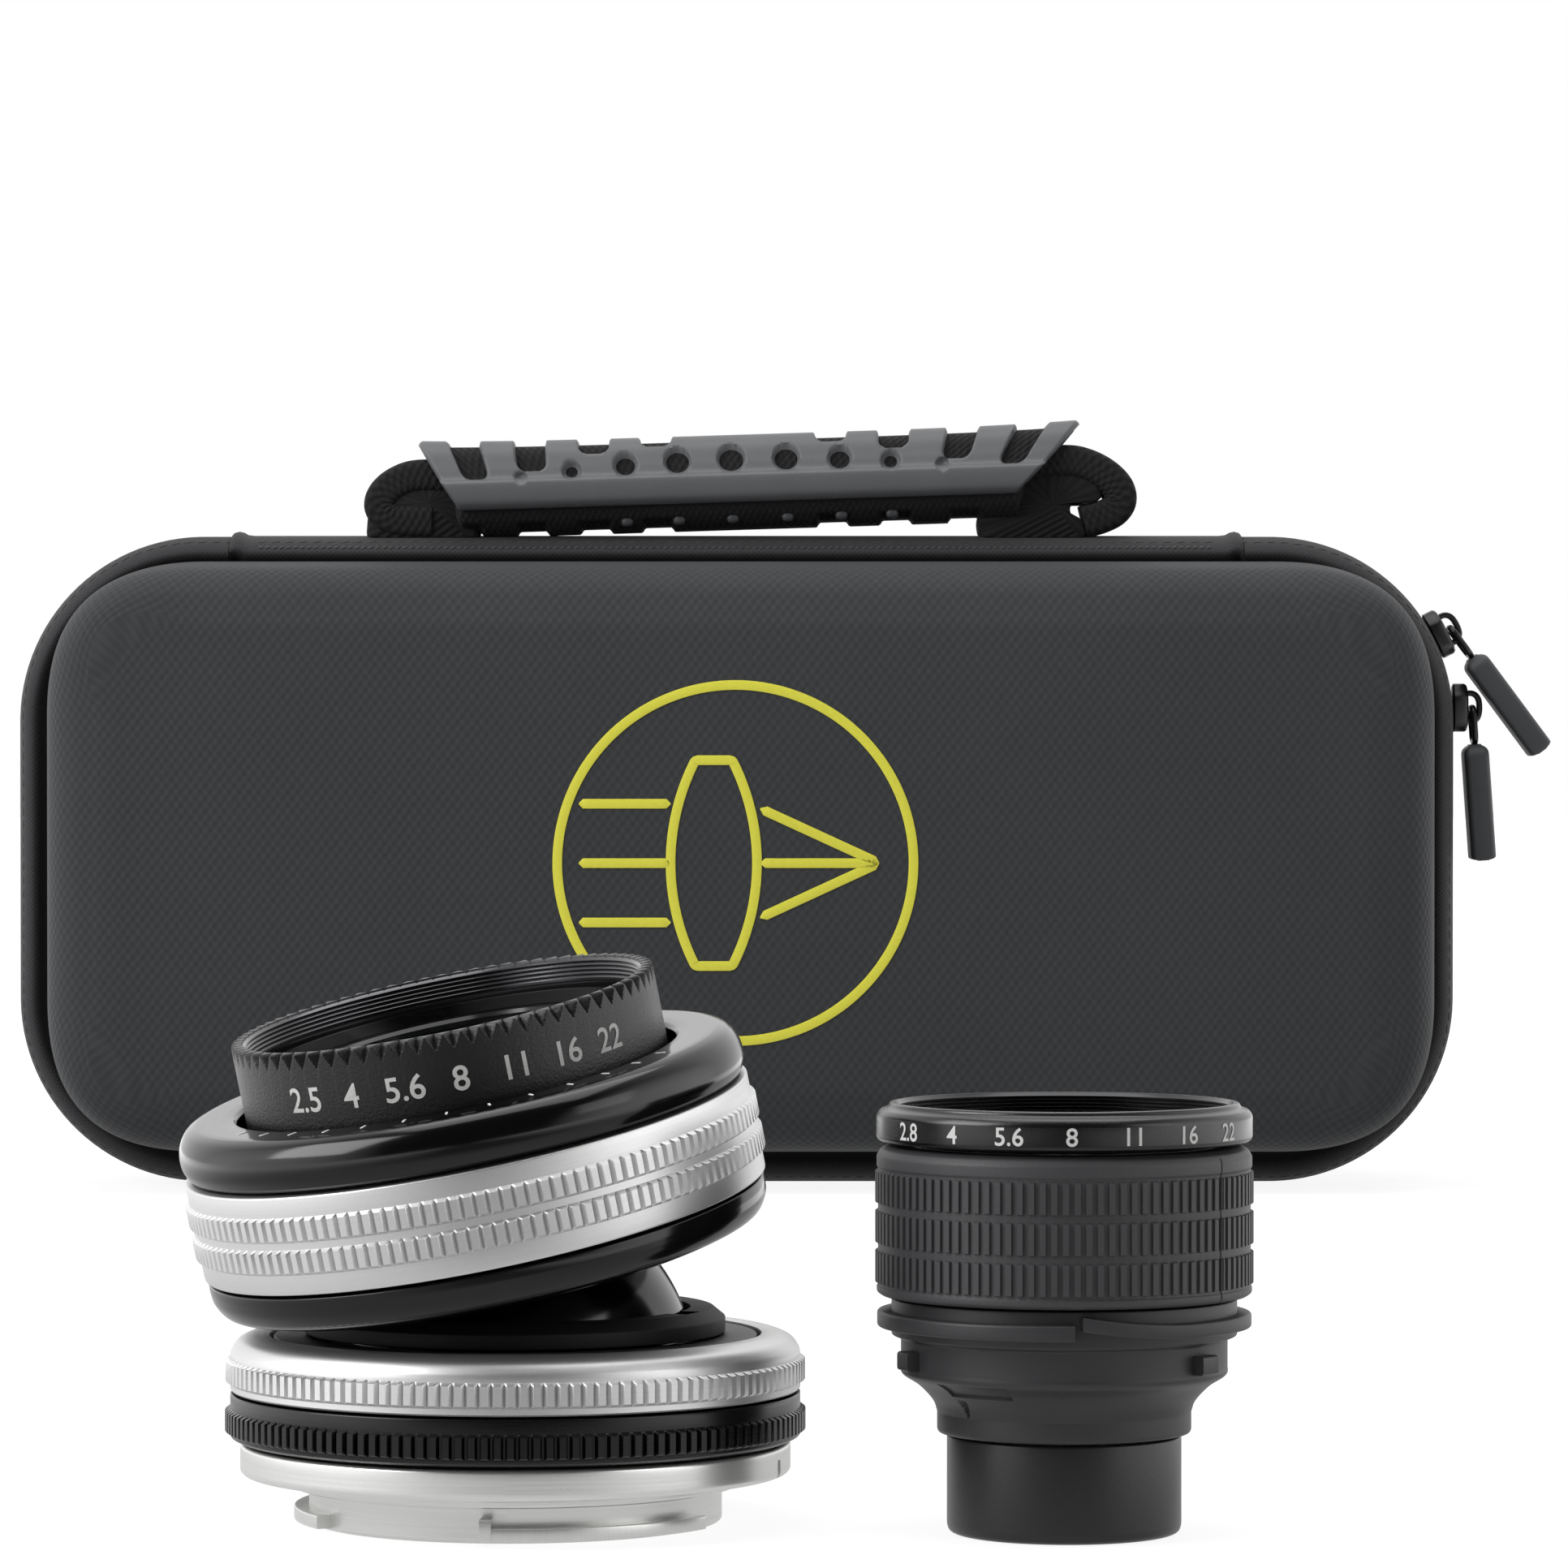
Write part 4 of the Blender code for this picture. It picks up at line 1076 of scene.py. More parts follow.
@dataclass
class TiltHead:
    """The part of the lens that leans: ball, base, focus ring and front plate, along its own axis."""

    place: Local = Local.turned_about(BALL_AT, HEAD_LEAN)
    ball_radius: float = 20.4
    ball_ends: Span = (-8.0, 12.0)
    ball_bore: Spans = ((14.4, 15.8), (14.4, -8.0))
    neck: Spans = ((16.45, 13.2), (16.5, 15.8))
    focus_ribs: Ribs = Ribs(142, ((20.0, 22.85), (23.65, 26.5)), 0.5)
    cup_slots: Spans = ((9.9, 62.1), (129.9, 182.1), (249.9, 302.1))
    slot_radius: float = 22.0
    tick_radius: float = 27.3
    tick_level: float = 34.79
    tick_angles: Triple = (-60.0, 61.0, 10.0)
    tick_sizes: Triple = (0.7, 0.15, 0.05)
    base_corners: Spans = (
        (32.0, 16.3), (32.0, 17.3), (28.5, 17.3), (28.5, 28.3), (26.8, 28.3), (26.8, 16.4), (16.95, 16.4)
    )
    base_inner: Span = (16.95, 14.3)
    base_flare: Spans = ((29.4, 12.9), (30.9, 13.5), (31.8, 14.9), (32.0, 16.2))
    focus_wall: float = 32.2
    focus_section: Sizes = (28.95, 32.3, 17.7, 28.8, 0.25)
    front_bow: Spans = (
        (31.9, 29.5), (32.3, 30.5), (32.35, 31.8), (32.0, 33.1), (31.2, 34.2), (30.2, 34.7), (29.3, 34.8)
    )
    front_dish: Spans = ((29.2, 34.8), (27.0, 34.78), (25.6, 34.7), (25.2, 34.3), (25.2, 29.2), (31.6, 29.2))
    cup_corners: Spans = ((22.0, 17.8), (26.3, 17.8), (26.3, 28.8), (19.8, 28.8), (19.8, 27.4), (22.0, 27.4))

    def build(self) -> None:
        """Builds and dresses the head."""
        level = np.linspace(*self.ball_ends, 28)
        ball = np.stack([np.sqrt(self.ball_radius**2 - level**2), level], -1)
        neck = spline((ball[-1], *self.neck), 4)[1:]
        profile = np.vstack([self.ball_bore, ball, neck])
        turned = lathe(self.place, profile, turns(220))
        turned.show("ball_turned", GLOSS_BLACK, "lens_head", ["swivel_ball"], Slot.GLOSS, Crease.GLASS)

        lower = spline(self.base_flare, 5)
        profile = np.vstack([[self.base_inner], lower, rounded(self.base_corners, 0.2, 4, False)])
        turned = lathe(self.place, profile, turns(260))
        turned.show("head_base_turned", GLOSS_BLACK, "lens_head", ["head_base"], Slot.GLOSS)

        ring = self.focus_ribs.cut(self.place, oblong(*self.focus_section), self.focus_wall)
        ring.show("focus_ring_turned", SILVER, "lens_focus", ["focus_ring"], Slot.SILVER)
        self.build_front()

    def build_front(self) -> None:
        """Front plate with a flat top and a rounded shoulder, its index marks and the cup under it."""
        profile = np.vstack([spline(self.front_bow, 6), rounded(self.front_dish, 0.15, 3, False)])
        turned = lathe(self.place, profile, turns(280))
        turned.show("front_plate_turned", GLOSS_BLACK, "lens_carriage", ["front_plate"], Slot.GLOSS)

        angles = np.radians(np.arange(*self.tick_angles))
        out = np.stack([np.sin(angles), np.cos(angles), np.zeros_like(angles)], -1)
        side = np.stack([np.cos(angles), -np.sin(angles), np.zeros_like(angles)], -1)
        middle = out * self.tick_radius + np.array([0.0, 0.0, self.tick_level])
        axes = np.stack([out, side, np.cross(out, side)], 1)
        basis = np.array([self.place.first, self.place.second, self.place.third])
        ticks = beads(self.place.put(middle), axes @ basis, self.tick_sizes, 0.35, 5, 12)
        ticks.show("front_plate_ticks", WHITE_INK, "lens_carriage")

        angles = turns(160, ends_of(self.cup_slots))

        def slots(radius: Array, height: Array, angle: Array) -> Pair:
            """Cuts the lip away where the optic's lugs go in."""
            wider = np.maximum(radius, self.slot_radius)
            return np.where(within(angle, self.cup_slots), wider, radius), height

        turned = lathe(self.place, rounded(self.cup_corners, 0.15), angles, slots)
        turned.show("optic_cup_turned", MATTE_BLACK, "lens_carriage", ["optic_cup"], Slot.MATTE)


@dataclass
class FittedOptic:
    """The optic that sits in the head: barrel, glass, iris and the scalloped front ring."""

    place: Local = Local.turned_about(BALL_AT, HEAD_LEAN)
    lug_spans: Spans = ((72.0, 118.0), (192.0, 238.0), (312.0, 358.0))
    ring_radius: float = 24.2
    scallops: int = 74
    scallop_low: float = 41.2
    scallop_depth: float = 1.25
    ring_top: float = 43.0
    ring_wall: float = 24.0
    baffle_steps: int = 9
    baffle_ends: Spans = ((20.7, 39.7), (17.0, 38.8))
    keeper_back: Spans = ((15.9, 37.7), (20.9, 37.7), (20.9, 39.7))
    keeper_lip: Spans = ((16.3, 38.7), (15.9, 38.3))
    first_mark: float = -40.0
    mark_step: float = 15.0
    mark_size: float = 3.9
    mark_level: float = 36.5
    stops: tuple[str, ...] = ("2.5", "4", "5.6", "8", "11", "16", "22")
    blades: int = 6
    barrel_corners: Spans = (
        (11.7, 3.5), (12.2, 3.2), (13.1, 4.2), (13.1, 14.2), (14.6, 16.4), (18.2, 19.2), (19.2, 24.0),
        (19.2, 31.0), (21.0, 31.0), (21.0, 37.4), (17.5, 37.4), (17.5, 31.6), (15.5, 31.6), (15.5, 26.4),
        (16.9, 26.4), (16.9, 20.0), (12.2, 15.6), (11.7, 14.4),
    )
    lug_section: Sizes = (18.6, 21.4, 24.8, 27.0, 0.25)
    front_glass: Glass = (17.0, (32.6, 31.9), (34.0, 37.0))
    rear_glass: Glass = (11.2, (5.8, 4.4), (7.6, 8.7))
    thread_top: Span = (22.75, 42.7)
    thread_depth: float = 0.2
    thread_pitch: float = 0.5
    thread_foot: Spans = (
        (22.3, 40.1), (22.3, 39.3), (21.6, 39.2), (21.6, 38.4), (22.95, 38.4), (22.95, 42.8)
    )
    ring_foot: Spans = ((21.5, 31.2), (24.0, 31.2), (24.2, 31.6), (24.2, 36.0))
    ring_bore: Spans = ((24.05, 43.0), (23.0, 43.0), (22.9, 42.8), (22.9, 38.2), (21.5, 38.0))

    def build(self, nodes: dict[str, Piece]) -> None:
        """Builds and dresses the optic.

        Args:
            nodes: The CAD nodes; the iris blades stay and get a finish.
        """
        lug = oblong(*self.lug_section)
        barrel = lathe(self.place, rounded(self.barrel_corners, 0.3), turns(180))
        barrel = barrel.plus(*(arc_bar(self.place, lug, span) for span in self.lug_spans))
        barrel.show("optic_barrel_turned", SATIN_BLACK, "lens_optic", ["optic_barrel"], Slot.BLACK)

        sets = (
            ("front_glass", self.front_glass, "front_element"),
            ("rear_glass", self.rear_glass, "rear_element"),
        )
        for name, sizes, node in sets:
            turned = lathe(self.place, lens_profile(*sizes), turns(120), closed=False)
            turned.show(name, GLASS, "lens_optic", [node], Slot.GLASS, Crease.GLASS)

        tread, rise = np.linspace(*self.baffle_ends, self.baffle_steps).repeat(2, axis=0).T
        baffle = np.stack([tread[1:], rise[:-1]], -1)
        cone = np.vstack([self.keeper_back, baffle, self.keeper_lip])
        turned = lathe(self.place, cone, turns(200))
        turned.show("front_keeper", GLOSS_BLACK, "lens_optic", ["front_retainer"], Slot.MATTE, Crease.THREAD)
        self.build_ring()
        for k in range(self.blades):
            blade = nodes[f"iris_blade_{k + 1}"]
            blade.data.materials.clear()
            blade.data.materials.append(BLADE.make())

    def build_ring(self) -> None:
        """Front ring: a filter thread inside, plain numbers outside and slanting notches in its top edge."""
        outer = rounded(self.ring_foot, 0.2, 4, False)
        upper = np.stack([np.full(11, self.ring_radius), np.linspace(self.scallop_low - 0.1, 42.85, 11)], -1)

        def scallop(radius: Array, height: Array, angle: Array) -> Pair:
            """Cuts the notches: a bite is deepest at its middle and the top, and falls off evenly.

            Args:
                radius: Radius at each point.
                height: Height at each point.
                angle: Angle at each point.

            Returns:
                Radius and height with the notches cut.
            """
            share = (angle * self.scallops / FULL_TURN) % 1.0
            up = (height - self.scallop_low) / (self.ring_top - self.scallop_low)
            bite = np.maximum(0.0, up - 2.0 * np.minimum(share, 1.0 - share)) * self.scallop_depth
            return np.where(radius > self.ring_wall, radius - bite, radius), height

        profile = np.vstack([outer, upper, self.ring_bore])
        ring = lathe(self.place, profile, turns(self.scallops * 12), scallop)
        ring.show(
            "aperture_ring_turned", GRAINED, "lens_aperture", ["aperture_ring"], Slot.GRAIN, Crease.NOTCH
        )
        step = np.arange(11)
        tooth = self.thread_depth * (step % 2)
        radius, top = self.thread_top
        thread = np.stack([radius - tooth, top - self.thread_pitch * (step // 2) - tooth], -1)
        inner = lathe(self.place, np.vstack([thread, self.thread_foot]), turns(240))
        inner.show("aperture_ring_thread", THREAD, "lens_aperture", crease=Crease.THREAD)
        marks = [(text, self.first_mark + self.mark_step * k) for k, text in enumerate(self.stops)]
        at = (self.place, self.ring_radius, self.mark_level)
        print_piece = number_marks("aperture_numbers", marks, self.mark_size, *at)
        dress(print_piece, WHITE_INK, "lens_aperture")


def lens_profile(radius: float, back: Span, front: Span) -> Array:
    """Half section of a lens: each face is a parabola from axis to rim, and a ground edge joins them.

    Args:
        radius: Radius of the rim.
        back: Height of the back face at the rim and on the axis.
        front: Height of the front face at the rim and on the axis.

    Returns:
        Points as (radius, height), from the axis to the axis.
    """
    share = np.linspace(0.0, 1.0, 16)
    low = np.stack([radius * share, back[1] + (back[0] - back[1]) * share**2], -1)
    high = np.stack([radius * share, front[1] + (front[0] - front[1]) * share**2], -1)[::-1]
    return np.vstack([low, high])


@dataclass
class LooseOptic:
    """The second optic, standing on its rear barrel: bayonet body, sliding grip, glass and front ring.

    A ramp is two angles, its top and its lead-in. The window is two angles and two heights, and the wedge is
    an angle and two heights.
    """

    place: Local = Local.turned_about(OPTIC_AT)
    ramps: tuple[Four, ...] = ((-175.0, 1.0, 24.9, 0.0), (3.5, 166.0, 24.7, 1.1))
    ramp_low: float = 23.1
    ramp_reach: Span = (18.0, 20.9)
    pegs: Sizes = (-68.0, 53.0, 168.0)
    window: Four = (-54.0, -23.0, 16.2, 17.6)
    wedge: Triple = (-50.0, 13.6, 15.6)
    wedge_half: float = 2.6
    recess: float = 0.45
    recess_inner: float = 14.1
    peg_half: float = 4.3
    ring_radius: float = 21.0
    grip_wall: float = 20.78
    grip_ribs: Ribs = Ribs(104, ((28.0, 31.6), (32.45, 36.05), (36.9, 40.5)), 0.32, 0.1, 0.2, 0.05, 53.4)
    first_mark: float = -57.0
    mark_step: float = 19.0
    mark_size: float = 2.8
    mark_level: float = 44.5
    stops: tuple[str, ...] = ("2.8", "4", "5.6", "8", "11", "16", "22")
    barrel_corners: Spans = ((11.7, 0.0), (12.3, 0.0), (12.9, 0.3), (13.1, 1.0), (13.1, 10.95), (11.7, 10.95))
    rear_glass: Glass = (11.2, (2.8, 1.4), (4.6, 5.7))
    front_glass: Glass = (14.9, (38.2, 36.6), (39.8, 42.2))
    body_upper: Spans = (
        (18.24, 18.9), (18.24, 21.8), (19.3, 22.2), (19.3, 26.3), (16.9, 26.3), (16.9, 19.2), (12.0, 15.4),
        (12.0, 11.25),
    )
    body_flare: Spans = ((14.2, 13.6), (14.7, 14.9), (16.3, 16.6), (18.1, 17.8), (18.24, 18.8))
    body_foot: Spans = ((12.0, 11.25), (14.0, 11.25), (14.2, 11.6), (14.2, 13.5))
    peg_section: Sizes = (17.5, 19.7, 18.7, 20.8, 0.4)
    grip_corners: Spans = (
        (16.8, 26.6), (20.4, 26.6), (20.95, 27.0), (20.95, 27.6), (20.8, 27.75), (20.8, 40.8), (20.95, 41.0),
        (20.95, 42.2), (20.5, 42.9), (19.6, 43.3), (16.8, 43.3),
    )
    tube_section: Sizes = (15.2, 16.4, 19.8, 43.0, 0.15)
    ring_corners: Spans = (
        (17.0, 43.8), (20.6, 43.8), (21.0, 44.2), (21.0, 46.7), (20.6, 47.3), (19.7, 47.6), (19.5, 48.1),
        (18.9, 48.1),
    )
    ring_seat: Spans = ((18.4, 45.2), (17.0, 44.8))
    thread_radius: float = 18.7
    thread_depth: float = 0.25
    thread_ends: Span = (47.9, 45.6)
    keeper_corners: Spans = ((14.4, 43.3), (16.4, 43.3), (16.4, 44.6), (14.4, 44.0))

    def build(self) -> None:
        """Builds and dresses the optic."""
        turned = lathe(self.place, rounded(self.barrel_corners, 0.3), turns(200))
        turned.show("loose_barrel", GRAPHITE_RING, "optic_base", ["rear_barrel"], Slot.GRAPHITE)
        sets = (
            ("loose_rear_glass", self.rear_glass, "optic_base", "loose_rear_element"),
            ("loose_front_glass", self.front_glass, "optic_slide", "loose_front_element"),
        )
        for name, sizes, body, node in sets:
            turned = lathe(self.place, lens_profile(*sizes), turns(120), closed=False)
            turned.show(name, GLASS, body, [node], Slot.GLASS, Crease.GLASS)
        self.build_body()
        self.build_grip()
        self.build_front()

    def build_body(self) -> None:
        """Flared body with a moulded window, two bayonet ramps and three pegs."""
        flare = spline(self.body_flare, 6)
        foot = rounded(self.body_foot, 0.2, 4, False)[1:]
        profile = np.vstack([foot, flare, rounded(self.body_upper, 0.2, 4, False)])
        ramps = []
        for start, end, top, lead in self.ramps:
            bar = oblong(*self.ramp_reach, self.ramp_low, top, 0.35)
            ramps.append(arc_bar(self.place, bar, (start, end), lead))
        for angle in self.pegs:
            peg = oblong(*self.peg_section)
            ramps.append(arc_bar(self.place, peg, (angle - self.peg_half, angle + self.peg_half)))
        edges = [at + step for at in self.window[:2] for step in (-0.15, 0.15)]
        body = lathe(self.place, profile, turns(480, edges), self.recesses).plus(*ramps)
        body.show("bayonet_body_moulded", GRAPHITE, "optic_base", ["bayonet_body"], Slot.GRAPHITE)

    def recesses(self, radius: Array, height: Array, angle: Array) -> Pair:
        """Presses a shallow window and a wedge into the flare.

        Args:
            radius: Radius at each point.
            height: Height at each point.
            angle: Angle at each point.

        Returns:
            Radius and height with the recesses in.
        """
        degrees = (np.degrees(angle) + 180.0) % 360.0 - 180.0
        start, end, low, high = self.window
        window = (degrees > start) & (degrees < end) & (height > low) & (height < high)
        at, foot, top = self.wedge
        wedge = np.abs(degrees - at) < self.wedge_half * (height - foot) / (top - foot)
        wedge = wedge & (height > foot) & (height < top)
        return radius - np.where((window | wedge) & (radius > self.recess_inner), self.recess, 0.0), height

    def build_grip(self) -> None:
        """Sliding tube and the rubber grip with three rows of ribs."""
        turned = lathe(self.place, oblong(*self.tube_section), turns(160))
        turned.show("sliding_tube", SATIN_BLACK, "optic_slide", ["inner_tube"], Slot.BLACK)
        sleeve = self.grip_ribs.cut(self.place, rounded(self.grip_corners, 0.2), self.grip_wall)
        sleeve.show("grip_sleeve_ribbed", RIB_RUBBER, "optic_slide", ["grip_sleeve"], Slot.RIB_RUBBER)

    def build_front(self) -> None:
        """Glass keeper and the front ring with its numbers and filter thread."""
        turned = lathe(self.place, rounded(self.keeper_corners, 0.15), turns(160))
        turned.show("loose_keeper", MATTE_BLACK, "optic_slide", ["loose_retainer"], Slot.MATTE)
        outer = rounded(self.ring_corners, 0.25, 4, False)
        tooth = self.thread_depth * (np.arange(12) % 2)
        thread = np.stack([self.thread_radius - tooth, np.linspace(*self.thread_ends, 12)], -1)
        ring = lathe(self.place, np.vstack([outer, thread, self.ring_seat]), turns(260))
        ring.show("loose_ring_turned", RING_PAINT, "optic_ring", ["loose_front_ring"], Slot.GRAPHITE)
        marks = [(text, self.first_mark + self.mark_step * k) for k, text in enumerate(self.stops)]
        at = (self.place, self.ring_radius, self.mark_level)
        print_piece = number_marks("loose_numbers", marks, self.mark_size, *at)
        dress(print_piece, WHITE_INK, "optic_ring")


@dataclass(frozen=True)
class CaseShape:
    """The case's outline seen from the front: a rectangle with round corners, and insets of it.

    A point is its base on the inner rectangle plus the corner radius, less the inset, along its normal.
    """

    width: float = 273.8
    height: float = 123.7
    corner: float = 35.5
    straight_steps: int = 40
    corner_steps: int = 36
    zip_start: float = 96.15

    @property
    def half(self) -> float:
        """Half the straight part of the top."""
        return self.width / 2.0 - self.corner

    def rim(self) -> Pair:
        """Goes round the whole outline, from the middle of the top to the right.

        Returns:
            Bases and normals, as rows.
        """
        low, high = self.corner, self.height - self.corner
        centres = ((self.half, high), (self.half, low), (-self.half, low), (-self.half, high))
        bases, normals = [], []
        before = (0.0, high)
        for k, centre in enumerate(centres):
            start = math.pi / 2 * (1 - k)
            leg = np.linspace(before, centre, self.straight_steps, endpoint=False)
            turn = start - np.linspace(0.0, math.pi / 2, self.corner_steps, endpoint=False)
            bases += [leg, np.tile(centre, (self.corner_steps, 1))]
            flat = np.tile((math.cos(start), math.sin(start)), (self.straight_steps, 1))
            normals += [flat, np.stack([np.cos(turn), np.sin(turn)], -1)]
            before = centre
        bases.append(np.linspace(before, (0.0, high), self.straight_steps, endpoint=False))
        normals.append(np.tile((0.0, 1.0), (self.straight_steps, 1)))
        return np.vstack(bases), np.vstack(normals)

    def zip_line(self, pitch: float) -> Pair:
        """Bases and normals at even steps along the zip, from top right round the bottom to top left.

        Args:
            pitch: Step in millimetres along the outline.

        Returns:
            Bases and normals.
        """
        bases, normals = self.rim()
        edge = bases + normals * self.corner
        at = lengths(edge)
        total = at[-1] + np.linalg.norm(edge[-1] - edge[0])
        steps = int((total - 2 * self.zip_start) / pitch) + 1
        wanted = np.linspace(self.zip_start, total - self.zip_start, steps)
        angle = np.unwrap(np.arctan2(normals[:, 1], normals[:, 0]))
        turn = np.interp(wanted, at, angle)
        base = np.stack([np.interp(wanted, at, bases[:, k]) for k in range(2)], -1)
        return base, np.stack([np.cos(turn), np.sin(turn)], -1)

    def put(self, base: Array, normal: Array, inset: Array | float, depth: Array | float) -> Array:
        """Places points by inset and depth.

        Args:
            base: Bases, as rows.
            normal: Normals, as rows.
            inset: Insets from the outline.
            depth: Depths from the parting plane, behind it if positive.

        Returns:
            Points in the row frame, in millimetres.
        """
        reach = self.corner - inset
        x, z = base[..., 0] + normal[..., 0] * reach, base[..., 1] + normal[..., 1] * reach
        x, y, z = np.broadcast_arrays(x, depth, z)
        return np.stack([x, y, z], -1) + CASE_AT


@dataclass
class CaseShells:
    """The two moulded halves, their foam and the print on the lid."""

    shape: CaseShape = CaseShape()
    half_depth: float = 38.0
    wall: float = 3.0
    face_inset: float = 18.0
    lid_crown: float = 2.4
    rear_crown: float = 0.6
    crown_reach: Span = (124.0, 49.0)
    crown_rows: int = 12
    foam_passes: int = 6
    foam_voxel: float = 1.5
    stroke: float = 1.8
    print_middle: Span = (0.0, 62.0)
    print_radius: float = 33.0
    bow_angle: float = 27.0
    bow_radius: float = 42.0
    bow_middle: float = 34.0
    lens_shift: Span = (-4.0, 0.0)
    ray_levels: Triple = (-11.0, 0.0, 11.0)
    ray_in: Span = (-29.0, 17.0)
    ray_out: Span = (4.6, 22.0)
    ray_share: float = 0.92
    ink_rise: Span = (-0.3, 0.22)
    corner_fill: float = 0.3
    lid_shift: Span = (0.9, 0.7)
    shell_rim: Spans = ((6.0, 3.2), (6.2, 3.0), (8.8, 3.0), (9.0, 3.2))
    shell_inside: Spans = ((9.0, 12.0), (10.0, 26.0), (12.4, 32.0), (15.0, 35.0), (18.0, 35.0))
    shell_edge: Spans = ((18.0, 38.0), (12.2, 36.5), (8.7, 32.5), (7.0, 26.0), (6.0, 12.0), (6.0, 3.2))

    def build(self, nodes: dict[str, Piece]) -> None:
        """Builds and dresses both halves.

        Args:
            nodes: The CAD nodes, whose foam blocks are softened.
        """
        for half in (Half.REAR, Half.LID):
            stem = half.name.lower()
            body = f"case_{stem}"
            self.shell(half).show(
                f"{stem}_shell_cloth", SHELL_CLOTH, body, [f"{stem}_shell"], Slot.TWILL, Crease.CLOTH
            )
            foam = softened(nodes[f"{stem}_foam"], f"{stem}_foam_pad", self.foam_voxel, self.foam_passes)
            dress(foam, FOAM, body, [f"{stem}_foam"])
        self.build_print()

    def bulge(self, x: Array, z: Array, half: Half) -> Array:
        """How far the moulded face stands out: two humps of the fourth power multiplied, with faint waves.

        Args:
            x: Place across the face, from its middle.
            z: Height above the floor.
            half: Which half.

        Returns:
            The height of the bulge at each place.
        """
        crown = self.lid_crown if half is Half.LID else self.rear_crown
        across = np.clip(1.0 - (x / self.crown_reach[0]) ** 4, 0.0, 1.0)
        up = np.clip(1.0 - ((z - self.shape.height / 2.0) / self.crown_reach[1]) ** 4, 0.0, 1.0)
        waves = np.sin(x / 13.0 + z / 31.0) + np.sin(x / 29.0 - z / 11.0 + 1.3) + np.sin(x / 47.0 + 0.6)
        return across * up * crown * (1.0 + 0.05 * waves)

    def shell(self, half: Half) -> Surface:
        """A moulded tray: the face grows from its middle, turns over the edge to the rim and goes inside.

        Args:
            half: Which half.

        Returns:
            The surface, whose flat map unrolls the wall outwards from the face.
        """
        base, normal = self.shape.rim()
        middle = np.array([0.0, self.shape.height / 2.0])
        edge = spline(self.shell_edge, 7)[1:]
        rim = rounded(self.shell_rim, 0.1, 3, False)
        inside = spline(self.shell_inside, 4)
        wall = np.vstack([edge, rim, inside])
        share = np.linspace(0.0, 1.0, 30)
        inner_share = np.linspace(1.0, 0.0, 8)[1:]
        loop = base + normal * (self.shape.corner - self.face_inset)
        face = middle + share[:, None, None] * (loop - middle)[None]
        back = middle + inner_share[:, None, None] * (loop - middle)[None]
        fuller = 1.0 - self.corner_fill * (2.0 * normal[:, :1] * normal[:, 1:]) ** 2
        walls = base[None] + normal[None] * (self.shape.corner - wall[:, None, :1] * fuller[None])
        plan = np.concatenate([face, walls, back])
        if half is Half.LID:
            plan = plan + np.asarray(self.lid_shift)
        rows = [
            np.full(len(share), self.half_depth), wall[:, 1],
            np.full(len(inner_share), self.half_depth - self.wall),
        ]
        depth = np.broadcast_to(np.concatenate(rows)[:, None], plan.shape[:2]).copy()
        front = len(share) + self.crown_rows
        depth[:front] += self.bulge(plan[:front, :, 0], plan[:front, :, 1], half)
        grid = np.stack([plan[..., 0], half.value * depth, plan[..., 1]], -1) + CASE_AT
        run = lengths(np.vstack([(self.face_inset, self.half_depth), wall]))[1:]
        unrolled = loop[None] + normal[None] * run[:, None, None]
        flat = np.concatenate([face, unrolled, back])
        return Surface.from_grid(grid, (False, True), np.concatenate([flat, flat[:, :1]], axis=1))

    def build_print(self) -> None:
        """Yellow line drawing on the lid: a lens in a ring with three rays that meet behind it."""
        turn = np.arange(160) * FULL_TURN / 160
        middle = np.array(self.print_middle)
        ring = middle + self.print_radius * np.stack([np.sin(turn), np.cos(turn)], -1)
        bow = np.radians(np.linspace(-self.bow_angle, self.bow_angle, 40))
        right = self.bow_radius * np.stack([np.cos(bow), np.sin(bow)], -1) - (self.bow_middle, 0.0)
        lens = middle + np.array(self.lens_shift) + rounded(np.vstack([right, -right]), 0.6, 3)
        strokes = [self.ink(ring, True), self.ink(lens, True)]
        share = np.linspace(0.0, 1.0, 24)[:, None]
        for level in self.ray_levels:
            into = np.array([[self.ray_in[0], level]]) + share * np.array([[self.ray_in[1], 0.0]])
            end = level * self.ray_share
            out = np.array([[self.ray_out[0], end]]) + share * np.array([[self.ray_out[1], -end]])
            strokes += [self.ink(middle + line, False) for line in (into, out)]
        strokes[0].plus(*strokes[1:]).show("lid_print", YELLOW_INK, "case_lid")

    def ink(self, path: Array, closed: bool) -> Surface:
        """One printed stroke: a low rounded section along a path on the lid's face, with round ends.

        Args:
            path: Points on the face, from its middle line and the floor.
            closed: Whether the stroke closes.

        Returns:
            The surface.
        """
        half = self.stroke / 2.0
        section = oblong(*self.ink_rise, -half, half, 0.15, 3)
        taper = None
        if not closed:
            at = lengths(path)
            near = np.minimum(at, at[-1] - at)
            taper = np.sqrt(np.clip(1.0 - (1.0 - np.clip(near / half, 0.0, 1.0)) ** 2, 0.02, 1.0))
        grid = swept(path, section, closed, taper)
        depth = self.half_depth + self.bulge(grid[..., 0], grid[..., 2], Half.LID) + grid[..., 1]
        placed = np.stack([grid[..., 0], -depth, grid[..., 2]], -1) + CASE_AT
        flat = swept_flat(path, section, closed)
        if closed:
            return Surface.from_grid(placed, (True, True), flat)
        return Surface.tube(placed, flat)


